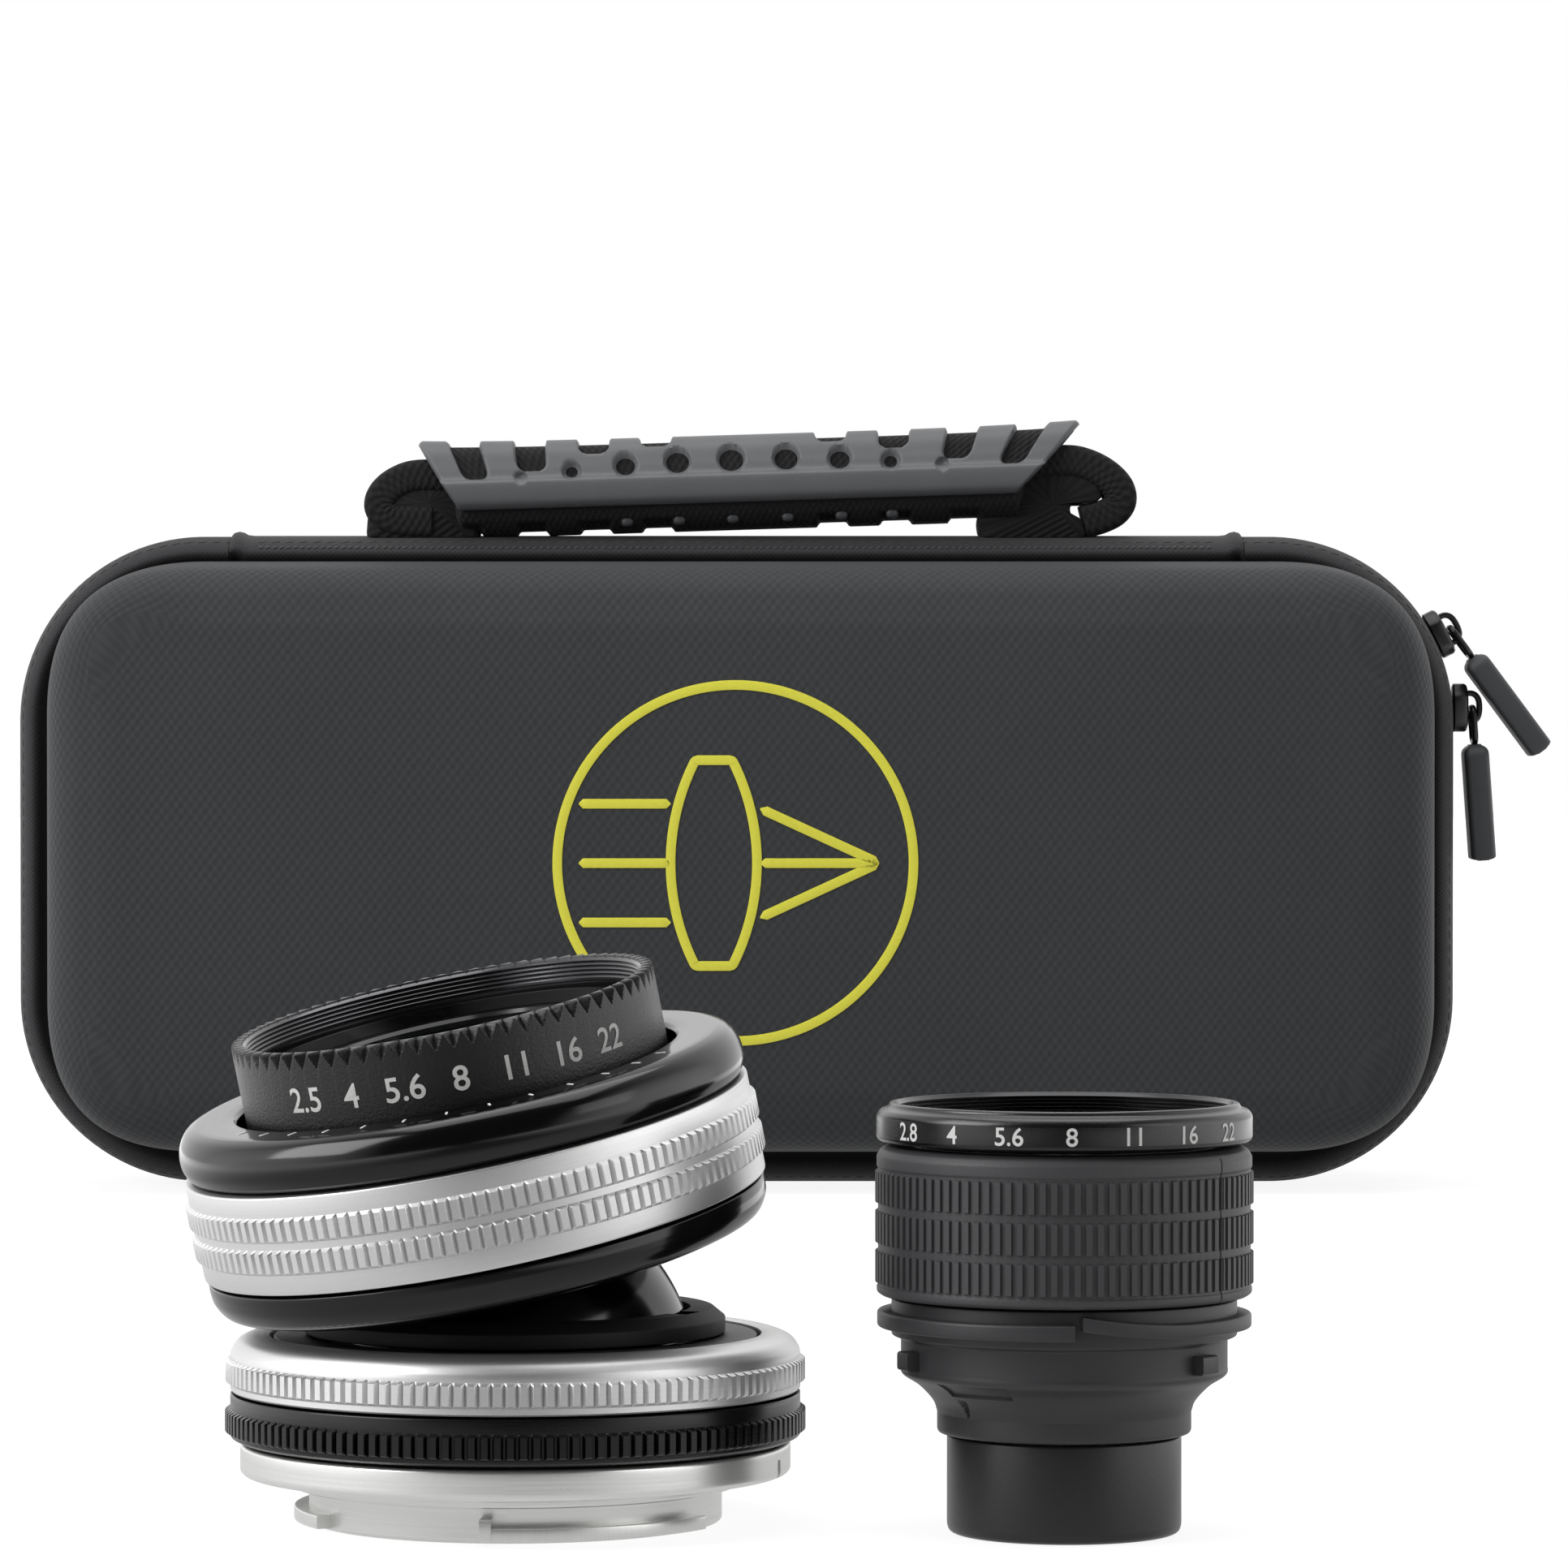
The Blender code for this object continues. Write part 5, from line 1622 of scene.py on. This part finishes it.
def softened(node: Piece, name: str, voxel: float, passes: int) -> Piece:
    """A moulded copy of a CAD solid: welded, remeshed in small cells and smoothed to round its edges.

    Args:
        node: The CAD node.
        name: Name of the copy.
        voxel: Cell size in millimetres.
        passes: Smoothing passes.

    Returns:
        The copy, with its modifiers applied.
    """
    mesh = node.data.copy()
    bm = bmesh.new()
    bm.from_mesh(mesh)
    bmesh.ops.remove_doubles(bm, verts=bm.verts, dist=SOLID_WELD)
    bm.to_mesh(mesh)
    bm.free()
    draft = bpy.data.objects.new(name, mesh)
    bpy.context.scene.collection.objects.link(draft)
    remesh = draft.modifiers.new("cells", "REMESH")
    remesh.mode = "VOXEL"
    remesh.voxel_size = voxel * MM
    smooth = draft.modifiers.new("soft", "SMOOTH")
    smooth.factor = 0.5
    smooth.iterations = passes
    made = bpy.data.meshes.new_from_object(draft.evaluated_get(bpy.context.evaluated_depsgraph_get()))
    bpy.data.objects.remove(draft)
    bpy.data.meshes.remove(mesh)
    return finish_mesh(name, made, Crease.NONE)


@dataclass(frozen=True)
class Seam:
    """A row of stitches: step, inset and depth, how far the cloth slopes there, and a stitch's half sizes.

    The slope is how far the cloth faces away from the parting plane for each unit along the outline's normal.
    """

    pitch: float = 2.6
    inset: float = 1.62
    depth: float = 9.6
    slope: float = 0.35
    sizes: Triple = (0.95, 0.24, 0.22)
    slant: float = 0.25

    def sew(self, centres: Array, normal: Array, side: float) -> Surface:
        """Makes the stitches, which run along the seam with a slant.

        Args:
            centres: Middle of each stitch.
            normal: Outline normals as rows.
            side: Which side of the parting plane.

        Returns:
            All stitches as one surface.
        """
        out = unit(np.stack([normal[:, 0], np.full(len(normal), side * self.slope), normal[:, 1]], -1))
        run = np.stack([-normal[:, 1], np.zeros(len(normal)), normal[:, 0]], -1)
        run = unit(run + self.slant * np.cross(out, run))
        axes = np.stack([run, np.cross(out, run), out], 1)
        return beads(centres, axes, self.sizes, 0.8, 5, 8)


@dataclass
class ZipLine:
    """The zip round the case: tapes, teeth, stitching, and two sliders with pulls."""

    shape: CaseShape = CaseShape()
    tooth_pitch: float = 2.6
    tooth_at: Span = (1.65, 1.15)
    tooth_sizes: Triple = (1.5, 0.56, 0.9)
    seam: Seam = Seam()
    upper_angle: float = 27.0
    lower_level: float = 90.7
    bail_reach: float = 3.5
    upper_swing: float = 36.6
    lower_swing: float = 4.0
    link_length: float = 7.0
    tab_length: float = 22.2
    tab_half: Span = (4.5, 2.4)
    wire_radius: float = 0.6
    link_section: Sizes = (0.0, 6.6, -2.8, 2.8, 2.0)
    bail_section: Sizes = (-1.0, 1.0, -0.55, 0.55, 0.45)
    tape_outer: Spans = (
        (1.0, 2.3), (0.45, 3.6), (0.9, 7.0), (2.0, 10.6), (3.4, 12.4), (4.7, 12.1), (5.7, 10.6), (7.2, 9.4)
    )
    tape_inner: Spans = ((7.2, 8.8), (4.8, 7.4), (3.2, 5.6), (2.4, 4.0), (2.2, 2.3))
    slider_edge: Spans = ((-4.6, -2.4), (-3.2, -4.0), (2.2, -4.0), (4.6, -1.6))
    bail_arch: Spans = (
        (-2.75, 2.2), (-2.65, 3.7), (-1.7, 4.65), (0.0, 4.9), (1.7, 4.65), (2.65, 3.7), (2.75, 2.2)
    )
    slider_layers: Spans = ((0.9, -0.3), (1.0, -0.05), (1.0, 1.9), (0.93, 2.35), (0.8, 2.55))

    def build(self) -> None:
        """Builds and dresses the zip."""
        for half in (Half.REAR, Half.LID):
            stem = half.name.lower()
            body = f"case_{stem}"
            self.tape(half).show(
                f"{stem}_tape_woven", TAPE_CLOTH, body, [f"{stem}_zip_tape"], Slot.TAPE, Crease.CLOTH
            )
            self.teeth(half).show(
                f"{stem}_teeth_coil", COIL, body, [f"zip_teeth_{stem}"], Slot.COIL, Crease.MOULD
            )
            self.stitches(half).show(f"{stem}_tape_stitches", STITCH, body, crease=Crease.MOULD)
        corner = np.array([self.shape.half, 0.0, self.shape.height - self.shape.corner])
        angle = math.radians(self.upper_angle)
        out = np.array([math.cos(angle), 0.0, math.sin(angle)])
        upper = corner + out * self.shape.corner
        lower = np.array([self.shape.width / 2.0, 0.0, self.lower_level])
        side = np.array([1.0, 0.0, 0.0])
        sets = (("upper", upper, out, self.upper_swing), ("lower", lower, side, self.lower_swing))
        for name, at, normal, swing in sets:
            self.build_slider(name, at, normal)
            self.build_pull(name, at + normal * self.bail_reach, math.radians(swing))

    def tape(self, half: Half) -> Surface:
        """Zip tape: a bowed section of (inset, depth) carried along the zip's line.

        Args:
            half: Which half.

        Returns:
            The surface.
        """
        base, normal = self.shape.zip_line(2.0)
        section = np.vstack([spline(self.tape_outer, 4), spline(self.tape_inner, 3)])
        inset, depth = section.T[:, None]
        grid = self.shape.put(base[:, None], normal[:, None], inset, half.value * depth)
        edge = base + normal * self.shape.corner
        return Surface.tube(grid, swept_flat(edge, section, False))

    def teeth(self, half: Half) -> Surface:
        """One row of coil teeth, which reach past the middle between those of the other row.

        Args:
            half: Which half.

        Returns:
            The surface.
        """
        base, normal = self.shape.zip_line(self.tooth_pitch / 2.0)
        pick = slice(0, None, 2) if half is Half.REAR else slice(1, None, 2)
        base, normal = base[pick], normal[pick]
        centres = self.shape.put(base, normal, self.tooth_at[0], half.value * self.tooth_at[1])
        out = np.stack([normal[:, 0], np.zeros(len(normal)), normal[:, 1]], -1)
        across = np.tile((0.0, 1.0, 0.0), (len(out), 1))
        return beads(centres, np.stack([across, np.cross(out, across), out], 1), self.tooth_sizes, 0.55)

    def stitches(self, half: Half) -> Surface:
        """A row of slanting stitches near the tape's sewn edge.

        Args:
            half: Which half.

        Returns:
            The surface.
        """
        base, normal = self.shape.zip_line(self.seam.pitch)
        centres = self.shape.put(base, normal, self.seam.inset, half.value * self.seam.depth)
        return self.seam.sew(centres, normal, half.value)

    def build_slider(self, name: str, at: Array, normal: Array) -> None:
        """Slider body with a rounded plan, and the bail that the pull hangs from.

        Args:
            name: Which slider.
            at: Point on the outline, from the case's own place.
            normal: Outward direction there.
        """
        along = np.array([-normal[2], 0.0, normal[0]])
        place = Local(tuple(at + CASE_AT), tuple(along), (0.0, 1.0, 0.0), tuple(normal))
        plan = np.vstack([self.slider_edge, np.array(self.slider_edge[::-1]) * (1.0, -1.0)])
        outline = rounded(plan, 1.0, 5)
        grid = np.stack([np.insert(outline * scale, 2, level, axis=1) for scale, level in self.slider_layers])
        body = Surface.tube(place.put(grid))
        loop = swept(spline(self.bail_arch, 6), oblong(*self.bail_section, 5))
        bail = Surface.tube(place.put(loop))
        body.plus(bail).show(
            f"{name}_slider_cast", ZIP_METAL, f"slider_{name}", [f"zip_slider_{name}"], Slot.ZIP_METAL
        )

    def build_pull(self, name: str, hole: Array, swing: float) -> None:
        """Wire link through the bail, and the rubber tab moulded on its end.

        Args:
            name: Which pull.
            hole: Middle of the bail's hole, from the case's own place.
            swing: Angle that the pull stands out from straight down, in radians.
        """
        down = (math.sin(swing), 0.0, -math.cos(swing))
        out = (math.cos(swing), 0.0, math.sin(swing))
        at = tuple(hole + CASE_AT)
        plan = Local(at, down, out, (0.0, 1.0, 0.0))
        track = oblong(*self.link_section, 8)
        wire = Surface.from_grid(plan.put(swept(track, circle(self.wire_radius), True)), (True, True))
        body = f"puller_{name}"
        wire.show(f"{name}_pull_wire", ZIP_METAL, body, [f"puller_link_{name}"], Slot.ZIP_METAL, Crease.WIRE)

        fall = self.tab_length * (0.5 - 0.5 * np.cos(np.linspace(0.0, math.pi, 32)))
        end = np.minimum(fall, self.tab_length - fall)
        near = np.clip(1.0 - fall / 3.0, 0.0, 1.0)
        edge = 1.0 - 0.06 * np.clip(1.0 - end / 0.6, 0.0, 1.0) ** 2
        width = self.tab_half[0] * (1.0 - 0.4 * near**2.2) * edge
        corner = np.where(fall < self.tab_length / 2.0, 1.9, 0.7)
        fade = np.clip(1.0 - end / corner, 0.0, 1.0) ** 2.4
        thick = self.tab_half[1] * np.sqrt(np.clip(1.0 - fade, 0.2, 1.0))
        section = oblong(-1.0, 1.0, 1.0, -1.0, 0.42, 6)
        across = section[None, :, 0] * width[:, None]
        reach = section[None, :, 1] * thick[:, None]
        below = np.broadcast_to((self.link_length + fall)[:, None], across.shape)
        grid = np.stack([below, reach, across], -1)
        tab = Surface.tube(plan.put(grid))
        tab.show(f"{name}_pull_tab", PULL_RUBBER, body, [f"puller_tab_{name}"], Slot.GRIP, Crease.MOULD)


@dataclass
class CarryHandle:
    """Hinge band across the top, the strap's two ends, its webbing core, dark below the rail as painted shade,
    and the rubber grip over it.

    A window is its place along the grip and the height of its foot, and dimples and nubs are places along it.
    """

    shape: CaseShape = CaseShape()
    strap_half: float = 6.8
    strap_thick: float = 6.2
    skew: float = 1.8
    skew_level: float = 124.8
    grip_span: Span = (-60.3, 66.2)
    grip_slant: Span = (7.5, 12.4)
    # Below this height the grip's rubber is left off and the dark webbing shows instead: painted shade of the
    # rubber underside
    painted_shade_top: float = 129.7
    grip_middle: float = 134.5
    grip_top: float = 143.0
    slant_height: float = 13.0
    end_round: float = 0.9
    notch_top: float = 127.2
    notch_depth: float = 0.9
    blend_low: float = 126.0
    core_inset: float = 1.2
    seams: tuple[Seam, ...] = (Seam(), Seam(1.3, 2.7, 11.74, 0.8, (0.5, 0.34, 0.24)))
    windows: Spans = (
        (-51.2, 135.7), (-38.8, 137.1), (-26.7, 140.2), (-14.9, 141.2),
        (18.4, 141.1), (30.4, 139.6), (43.4, 137.0), (56.4, 135.6),
    )
    window_half: float = 2.8
    window_round: float = 1.6
    window_depth: float = 3.0
    dimples: Sizes = (-40.6, -30.9, -20.7, -10.8, -0.6, 9.8, 20.0, 29.6, 39.4)
    nubs: Sizes = (-20.7, -10.8, -0.6, 9.8, 20.0, 29.6)
    nub_at: Span = (7.5, 126.7)
    nub_sizes: Triple = (1.2, 0.9, 1.0)
    left_loop: Spans = (
        (-52.0, 134.6), (-60.3, 134.8), (-64.2, 133.7), (-66.9, 131.6), (-67.8, 129.2), (-66.6, 127.2),
        (-64.0, 126.2), (-58.0, 126.0),
    )
    right_loop: Spans = (
        (54.0, 137.0), (62.5, 137.6), (66.5, 136.9), (70.0, 135.1), (72.4, 132.7), (73.0, 130.2),
        (71.8, 128.2), (69.4, 127.0), (66.0, 126.1),
    )
    left_tongue: Spans = (
        (-70.5, 122.6), (-49.0, 122.6), (-49.0, 127.0), (-50.0, 131.0), (-54.0, 135.2), (-60.0, 136.2),
        (-66.0, 133.0), (-70.0, 129.0),
    )
    right_tongue: Spans = (
        (46.2, 122.6), (67.0, 122.6), (65.9, 126.6), (63.6, 127.2), (63.3, 129.0), (64.8, 129.8),
        (67.5, 129.2), (70.0, 131.0), (68.0, 134.4), (62.0, 136.8), (55.0, 134.4), (47.6, 130.6),
        (45.6, 126.4),
    )
    grip_corners: Spans = (
        (0.0, 142.7), (4.5, 142.5), (7.4, 140.8), (8.9, 137.8), (9.8, 135.7), (11.5, 135.2), (12.2, 134.4),
        (11.6, 131.4), (10.7, 130.2), (9.2, 129.3), (8.3, 127.3), (6.2, 125.3), (3.0, 124.7), (0.0, 124.6),
    )
    spine_edge: Spans = (
        (7.2, 9.4), (5.7, 10.6), (4.7, 12.1), (3.4, 12.4), (2.0, 10.6), (0.9, 7.0), (0.4, 3.4), (0.2, 0.0)
    )
    spine_inner: Spans = (
        (7.2, 8.8), (4.8, 7.0), (3.6, 4.0), (3.4, 0.0), (3.6, -4.0), (4.8, -7.0), (7.2, -8.8)
    )
    spine_hem: Spans = ((-96.0, 0.2), (-95.7, 0.6), (-94.9, 0.8), (-94.0, 0.6), (-93.2, 0.15), (-92.0, 0.0))
    tongue_across: Sizes = (-6.2, -6.0, -5.2, -2.6, 0.0, 2.6, 5.2, 6.0, 6.2)
    tongue_scale: Sizes = (0.9, 0.96, 1.0, 1.0, 1.0, 1.0, 1.0, 0.96, 0.9)

    def build(self) -> None:
        """Builds and dresses the handle."""
        self.build_spine()
        self.build_strap("left", self.left_loop, self.left_tongue)
        self.build_strap("right", self.right_loop, self.right_tongue)
        section = self.strap_section()
        # Painted shade: below the rail the dark webbing core is not inset, so it is the outside where the
        # grip's rubber lies in shade
        under = soft_step((section[:, 1:] - self.painted_shade_top + 1.0) / 1.5)
        core = self.grip_surface(section + self.inwards(section) * self.core_inset * under, 300, False)
        core.show("handle_core_webbing", WEBBING, "case_handle", ["handle_core"], Slot.WEBBING, Crease.CLOTH)
        # The rubber stops above the painted shade
        grip = self.grip_surface(section[section[:, 1] > self.painted_shade_top], 440, True)
        grip.show("handle_grip_moulded", GRIP_RUBBER, "case_handle", ["handle_grip"], Slot.GRIP, Crease.MOULD)
        # The nubs' darker rubber is painted shade of the grip's underside
        self.shaded_nub_surface().show("handle_nubs_moulded", PULL_RUBBER, "case_handle", crease=Crease.MOULD)

    @property
    def place(self) -> Local:
        """The grip's own directions.

        Returns:
            Along it with its slight tilt, across it and up.
        """
        tilt = math.radians(self.skew)
        along = (math.cos(tilt), 0.0, math.sin(tilt))
        up = (-math.sin(tilt), 0.0, math.cos(tilt))
        return Local((CASE_AT[0], CASE_AT[1], self.skew_level), along, (0.0, 1.0, 0.0), up)

    def strap_section(self) -> Array:
        """The handle's section as (y, z): crowned top, sloping shoulders, side rails and narrow underside."""
        half = spline(self.grip_corners, 7)
        return np.roll(np.vstack([half, half[-2:0:-1] * (-1.0, 1.0)]), -len(half), axis=0)

    def inwards(self, section: Array) -> Array:
        """Unit directions from points of the section towards its middle."""
        return unit(np.array([0.0, self.grip_middle]) - section)

    def shaded_nub_surface(self) -> Surface:
        """Small nubs that show through the webbing under the rail, in a rubber darker than the grip's: painted
        shade of the grip's own dimpled underside.

        Returns:
            All nubs as one surface.
        """
        across, level = self.nub_at
        level -= self.skew_level
        at = np.array([(x, side * across, level) for x in self.nubs for side in (-1.0, 1.0)])
        axes = np.tile(np.eye(3), (len(at), 1, 1))
        return beads(self.place.put(at), axes, self.nub_sizes, 0.8, 7, 12)

    def grip_surface(self, section: Array, steps: int, moulded: bool) -> Surface:
        """Carries the section along the strap between slanting ends and presses shapes into it.

        A window goes in by a smooth step each way, and a dimple by half an ellipse.

        Args:
            section: Section as (y, z).
            steps: Stations along the strap.
            moulded: Whether it is the rubber, with windows and dimples, or the webbing, with notches below,
                which is painted shade under the rail.

        Returns:
            The surface.
        """
        share = np.linspace(0.0, 1.0, steps)[:, None]
        level = section[None, :, 1]
        drop = np.clip((self.grip_top - level) / self.slant_height, 0.0, 1.0)
        left = self.grip_span[0] + self.grip_slant[0] * drop
        right = self.grip_span[1] - self.grip_slant[1] * drop
        x = left + share * (right - left)
        end = np.minimum(x - left, right - x)
        depth = self.end_round * np.clip(1.0 - end / self.end_round, 0.0, 1.0) ** 2
        depth = depth + (self.pressed(x, section) if moulded else self.notched(x, section))
        point = section[None] + self.inwards(section)[None] * depth[..., None]
        flare = 0.7 * ((x - 2.0) / 62.0) ** 4 * np.clip((level - 136.0) / 6.0, 0.0, 1.0)
        grid = self.place.put(np.stack([x, point[..., 0], point[..., 1] + flare - self.skew_level], -1))
        path = np.stack([np.linspace(*self.grip_span, steps), np.zeros(steps)], -1)
        return Surface.tube(grid, swept_flat(path, section, False))

    def notched(self, x: Array, section: Array) -> Array:
        """How deep the notches under the webbing go, one below each window.

        Args:
            x: Stations by section points.
            section: Section as (y, z).

        Returns:
            Depth at each point.
        """
        low = soft_step((self.notch_top - np.broadcast_to(section[None, :, 1], x.shape)) / 0.8)
        across = [soft_step((self.window_half + 0.4 - np.abs(x - at)) / 0.8) for at, _ in self.windows]
        return self.notch_depth * low * np.maximum.reduce(across)

    def pressed(self, x: Array, section: Array) -> Array:
        """How deep the windows over the webbing and the round dimples go; windows lean near the ends.

        Args:
            x: Stations by section points.
            section: Section as (y, z).

        Returns:
            Depth at each point.
        """
        level = np.broadcast_to(section[None, :, 1], x.shape)
        lean = 0.75 * np.clip((x - 20.0) / 36.0, 0.0, None) ** 2
        lean = lean - 0.4 * np.clip((-x - 30.0) / 21.0, 0.0, None) ** 2
        leaned = x + lean * (142.0 - level)
        depth = np.zeros_like(x)
        for at, low in self.windows:
            beside = np.abs(leaned - at) - self.window_half + self.window_round
            below = low + self.window_round - level
            outside = np.hypot(np.clip(beside, 0.0, None), np.clip(below, 0.0, None)) - self.window_round
            edge = outside + np.minimum(np.maximum(beside, below), 0.0)
            depth = np.maximum(depth, self.window_depth * soft_step((0.4 - edge) / 0.8))
        for at in self.dimples:
            size = 2.75 - 1.5 * (at / 41.0) ** 2
            away = (x - at) ** 2 + (level - 138.1 + 2.5 * (at / 40.0) ** 2) ** 2
            depth = depth + 0.8 * size * np.sqrt(np.clip(1.0 - away / size**2, 0.0, 1.0))
        return depth

    def build_spine(self) -> None:
        """Woven hinge band with folded hems at both ends and a row of stitches along each side."""
        half = spline([(inset, -depth) for inset, depth in self.spine_edge], 4)
        outer = np.vstack([half, half[-2::-1] * (1.0, -1.0)])
        section = np.vstack([outer, spline(self.spine_inner, 3)])
        hem = np.array(self.spine_hem)
        x = np.concatenate([hem[:, 0], np.linspace(-88.0, 88.0, 43), -hem[::-1, 0]])
        lift = np.concatenate([hem[:, 1], np.zeros(43), hem[::-1, 1]])
        raised = np.where(np.arange(len(section)) < len(outer), 1.0, 0.0)
        z = self.shape.height - section[None, :, 0] + lift[:, None] * raised[None, :]
        grid = np.stack(np.broadcast_arrays(x[:, None], section[None, :, 1], z), -1)
        path = np.stack([x, np.zeros_like(x)], -1)
        band = Surface.tube(grid + CASE_AT, swept_flat(path, section, False))
        band.show("spine_band_woven", TAPE_CLOTH, "case_spine", ["spine_strip"], Slot.TAPE, Crease.CLOTH)

        rows = []
        for side in (-1.0, 1.0):
            for seam in self.seams:
                at = np.arange(-90.0, 90.5, seam.pitch)
                across, up = np.full((2, len(at)), [[side * seam.depth], [self.shape.height - seam.inset]])
                centres = np.stack([at, across, up], -1) + CASE_AT
                rows.append(seam.sew(centres, np.tile((0.0, 1.0), (len(at), 1)), side))
        rows[0].plus(*rows[1:]).show("spine_stitches", STITCH, "case_spine", crease=Crease.MOULD)

    def build_strap(self, stem: str, route: Points, tongue: Points) -> None:
        """One end of the strap: it folds into the grip above a sewn tongue, and stays where it is built, on no
        body.

        Args:
            stem: Which end.
            route: Middle line of the fold as (x, z), from the grip to the band.
            tongue: Outline of the layers under it as (x, z).
        """
        path = spline(route, 6)
        thick = self.strap_thick / 2.0
        section = oblong(-self.strap_half, self.strap_half, thick, -thick, 1.8, 6)
        fold = Surface.tube(swept(path, section) + CASE_AT, swept_flat(path, section, False))
        outline = rounded(tongue, 1.6, 5)
        middle = outline.mean(0)
        across = np.array(self.tongue_across)
        scale = np.array(self.tongue_scale)
        plan = middle + scale[:, None, None] * (outline - middle)[None]
        grid = np.stack([plan[..., 0], np.broadcast_to(across[:, None], plan.shape[:2]), plan[..., 1]], -1)
        around = lengths(np.vstack([outline, outline[:1]]))
        flat = np.stack(np.meshgrid(np.r_[across[0], across, across[-1]], around, indexing="ij"), -1)
        layers = Surface.tube(grid + CASE_AT, flat)
        piece = fold.plus(layers).to_piece(f"strap_{stem}_webbing", Crease.CLOTH)
        piece.data.materials.append(WEBBING.make())
        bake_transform(piece)
        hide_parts(f"strap_loop_{stem}")
        LOG.info("%s: %d faces, from case_spine to case_handle", piece.name, len(piece.data.polygons))


@dataclass
class Studio:
    """Floor, light and camera."""

    camera_at: Triple = (0.00053, -1.05128, 0.0941)
    camera_tilt: float = -0.782
    focal_length: float = 158.4
    sensor: float = 36.0
    floor_half: float = 4.0

    def build(self) -> None:
        """Sets up everything that isn't part of the object."""
        self.build_camera()
        self.build_floor()
        self.build_world()
        self.add_softbox("key_light", (-1.5, -0.75, 1.15), 1.2, 28.0)
        self.add_softbox("fill_light", (1.2, -1.0, 0.8), 0.7, 2.0)
        self.add_softbox("top_light", (0.0, -0.1, 1.6), 1.4, 16.0)
        bpy.context.scene.view_settings.view_transform = "Standard"

    def build_camera(self) -> None:
        """Camera at the photograph's viewing angle."""
        data = bpy.data.cameras.new("camera")
        data.lens = self.focal_length
        data.sensor_width = self.sensor
        camera = bpy.data.objects.new("camera", data)
        camera.location = self.camera_at
        camera.rotation_euler = (math.radians(90.0 + self.camera_tilt), 0.0, 0.0)
        bpy.context.scene.collection.objects.link(camera)
        bpy.context.scene.camera = camera

    def build_floor(self) -> None:
        """Pale floor: a light shadow near the set, white further out, dark in front for polished metal."""
        side = np.linspace(-self.floor_half, self.floor_half, 3) / MM
        x, y = np.meshgrid(side, side, indexing="ij")
        floor = Surface.from_grid(np.stack([x, y, np.full_like(x, -0.05)], -1), (False, False))
        piece = floor.to_piece("floor")
        material = bpy.data.materials.new("pale floor")
        material.use_nodes = True
        tree = material.node_tree
        shader = tree.nodes["Principled BSDF"]
        shader.inputs["Base Color"].default_value = linear("#d4d4d4")
        shader.inputs["Roughness"].default_value = 0.7
        path = add_node(tree, "LightPath")
        glow = add_node(tree, "Emission", None, {"Strength": 1.25})
        place = add_node(tree, "TexCoord")
        away = add_node(tree, "VectorMath", {"operation": "LENGTH"}, {0: place.outputs["Object"]})
        bright = ramp(tree, away.outputs["Value"], 0.3, 0.75, 0.72, 1.0)
        share = reckon(tree, "MULTIPLY", path.outputs["Is Camera Ray"], bright)
        split = add_node(tree, "SeparateXYZ", None, {0: place.outputs["Object"]})
        shine = ramp(tree, reckon(tree, "ABSOLUTE", split.outputs["X"]), 0.06, 0.36, 0.24, 2.0)
        close = ramp(tree, split.outputs["Y"], -0.46, -0.37, 0.0, 0.75)
        mirrored = add_node(tree, "Emission", None, {"Strength": reckon(tree, "MAXIMUM", shine, close)})
        gloss = {0: path.outputs["Is Glossy Ray"], 1: shader.outputs[0], 2: mirrored.outputs[0]}
        lit = add_node(tree, "MixShader", None, gloss)
        both = {0: share, 1: lit.outputs[0], 2: glow.outputs[0]}
        mixed = add_node(tree, "MixShader", None, both)
        tree.links.new(mixed.outputs[0], tree.nodes["Material Output"].inputs["Surface"])
        piece.data.materials.append(material)

    def build_world(self) -> None:
        """Soft light all round; white where the camera or glass sees it, and dark in front for gloss."""
        world = bpy.data.worlds.new("studio")
        world.use_nodes = True
        bpy.context.scene.world = world
        tree = world.node_tree
        ground = tree.nodes["Background"]
        ground.inputs["Color"].default_value = (1.0, 1.0, 1.0, 1.0)
        path = add_node(tree, "LightPath")
        place = add_node(tree, "TexCoord")
        split = add_node(tree, "SeparateXYZ", None, {0: place.outputs["Generated"]})
        behind = ramp(tree, split.outputs["Y"], -0.3, 0.5, 0.05, 1.2)
        beside = ramp(tree, reckon(tree, "ABSOLUTE", split.outputs["X"]), 0.55, 0.95, 0.03, 1.0)
        sides = ramp(tree, split.outputs["X"], -1.0, 1.0, 1.9, 2.2)
        seen = reckon(tree, "MAXIMUM", behind, reckon(tree, "MULTIPLY", beside, sides))
        gloss = mix(tree, path.outputs["Is Glossy Ray"], 0.17, seen)
        clear = reckon(tree, "MAXIMUM", path.outputs["Is Camera Ray"], path.outputs["Is Transmission Ray"])
        tree.links.new(mix(tree, clear, gloss, 1.0), ground.inputs["Strength"])

    def add_softbox(self, name: str, at: Triple, size: float, power: float) -> None:
        """A square softbox that faces the set.

        Args:
            name: Its name.
            at: Where it hangs, in metres.
            size: Side in metres.
            power: Power in watts.
        """
        data = bpy.data.lights.new(name, "AREA")
        data.size = size
        data.energy = power
        lamp = bpy.data.objects.new(name, data)
        lamp.location = at
        lamp.rotation_euler = (Vector((0.0, 0.0, 0.06)) - Vector(at)).to_track_quat("-Z", "Y").to_euler()
        bpy.context.scene.collection.objects.link(lamp)


def main() -> None:
    """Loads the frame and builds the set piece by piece."""
    logging.basicConfig(level=logging.INFO, format="%(message)s", stream=sys.stdout)
    bpy.ops.object.select_all(action="SELECT")
    bpy.ops.object.delete()
    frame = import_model()
    nodes = frame["nodes"]
    Studio().build()
    LensBase().build()
    TiltHead().build()
    FittedOptic().build(nodes)
    LooseOptic().build()
    CaseShells().build(nodes)
    ZipLine().build()
    CarryHandle().build()
    bpy.context.view_layer.update()


if __name__ == "__main__":
    main()
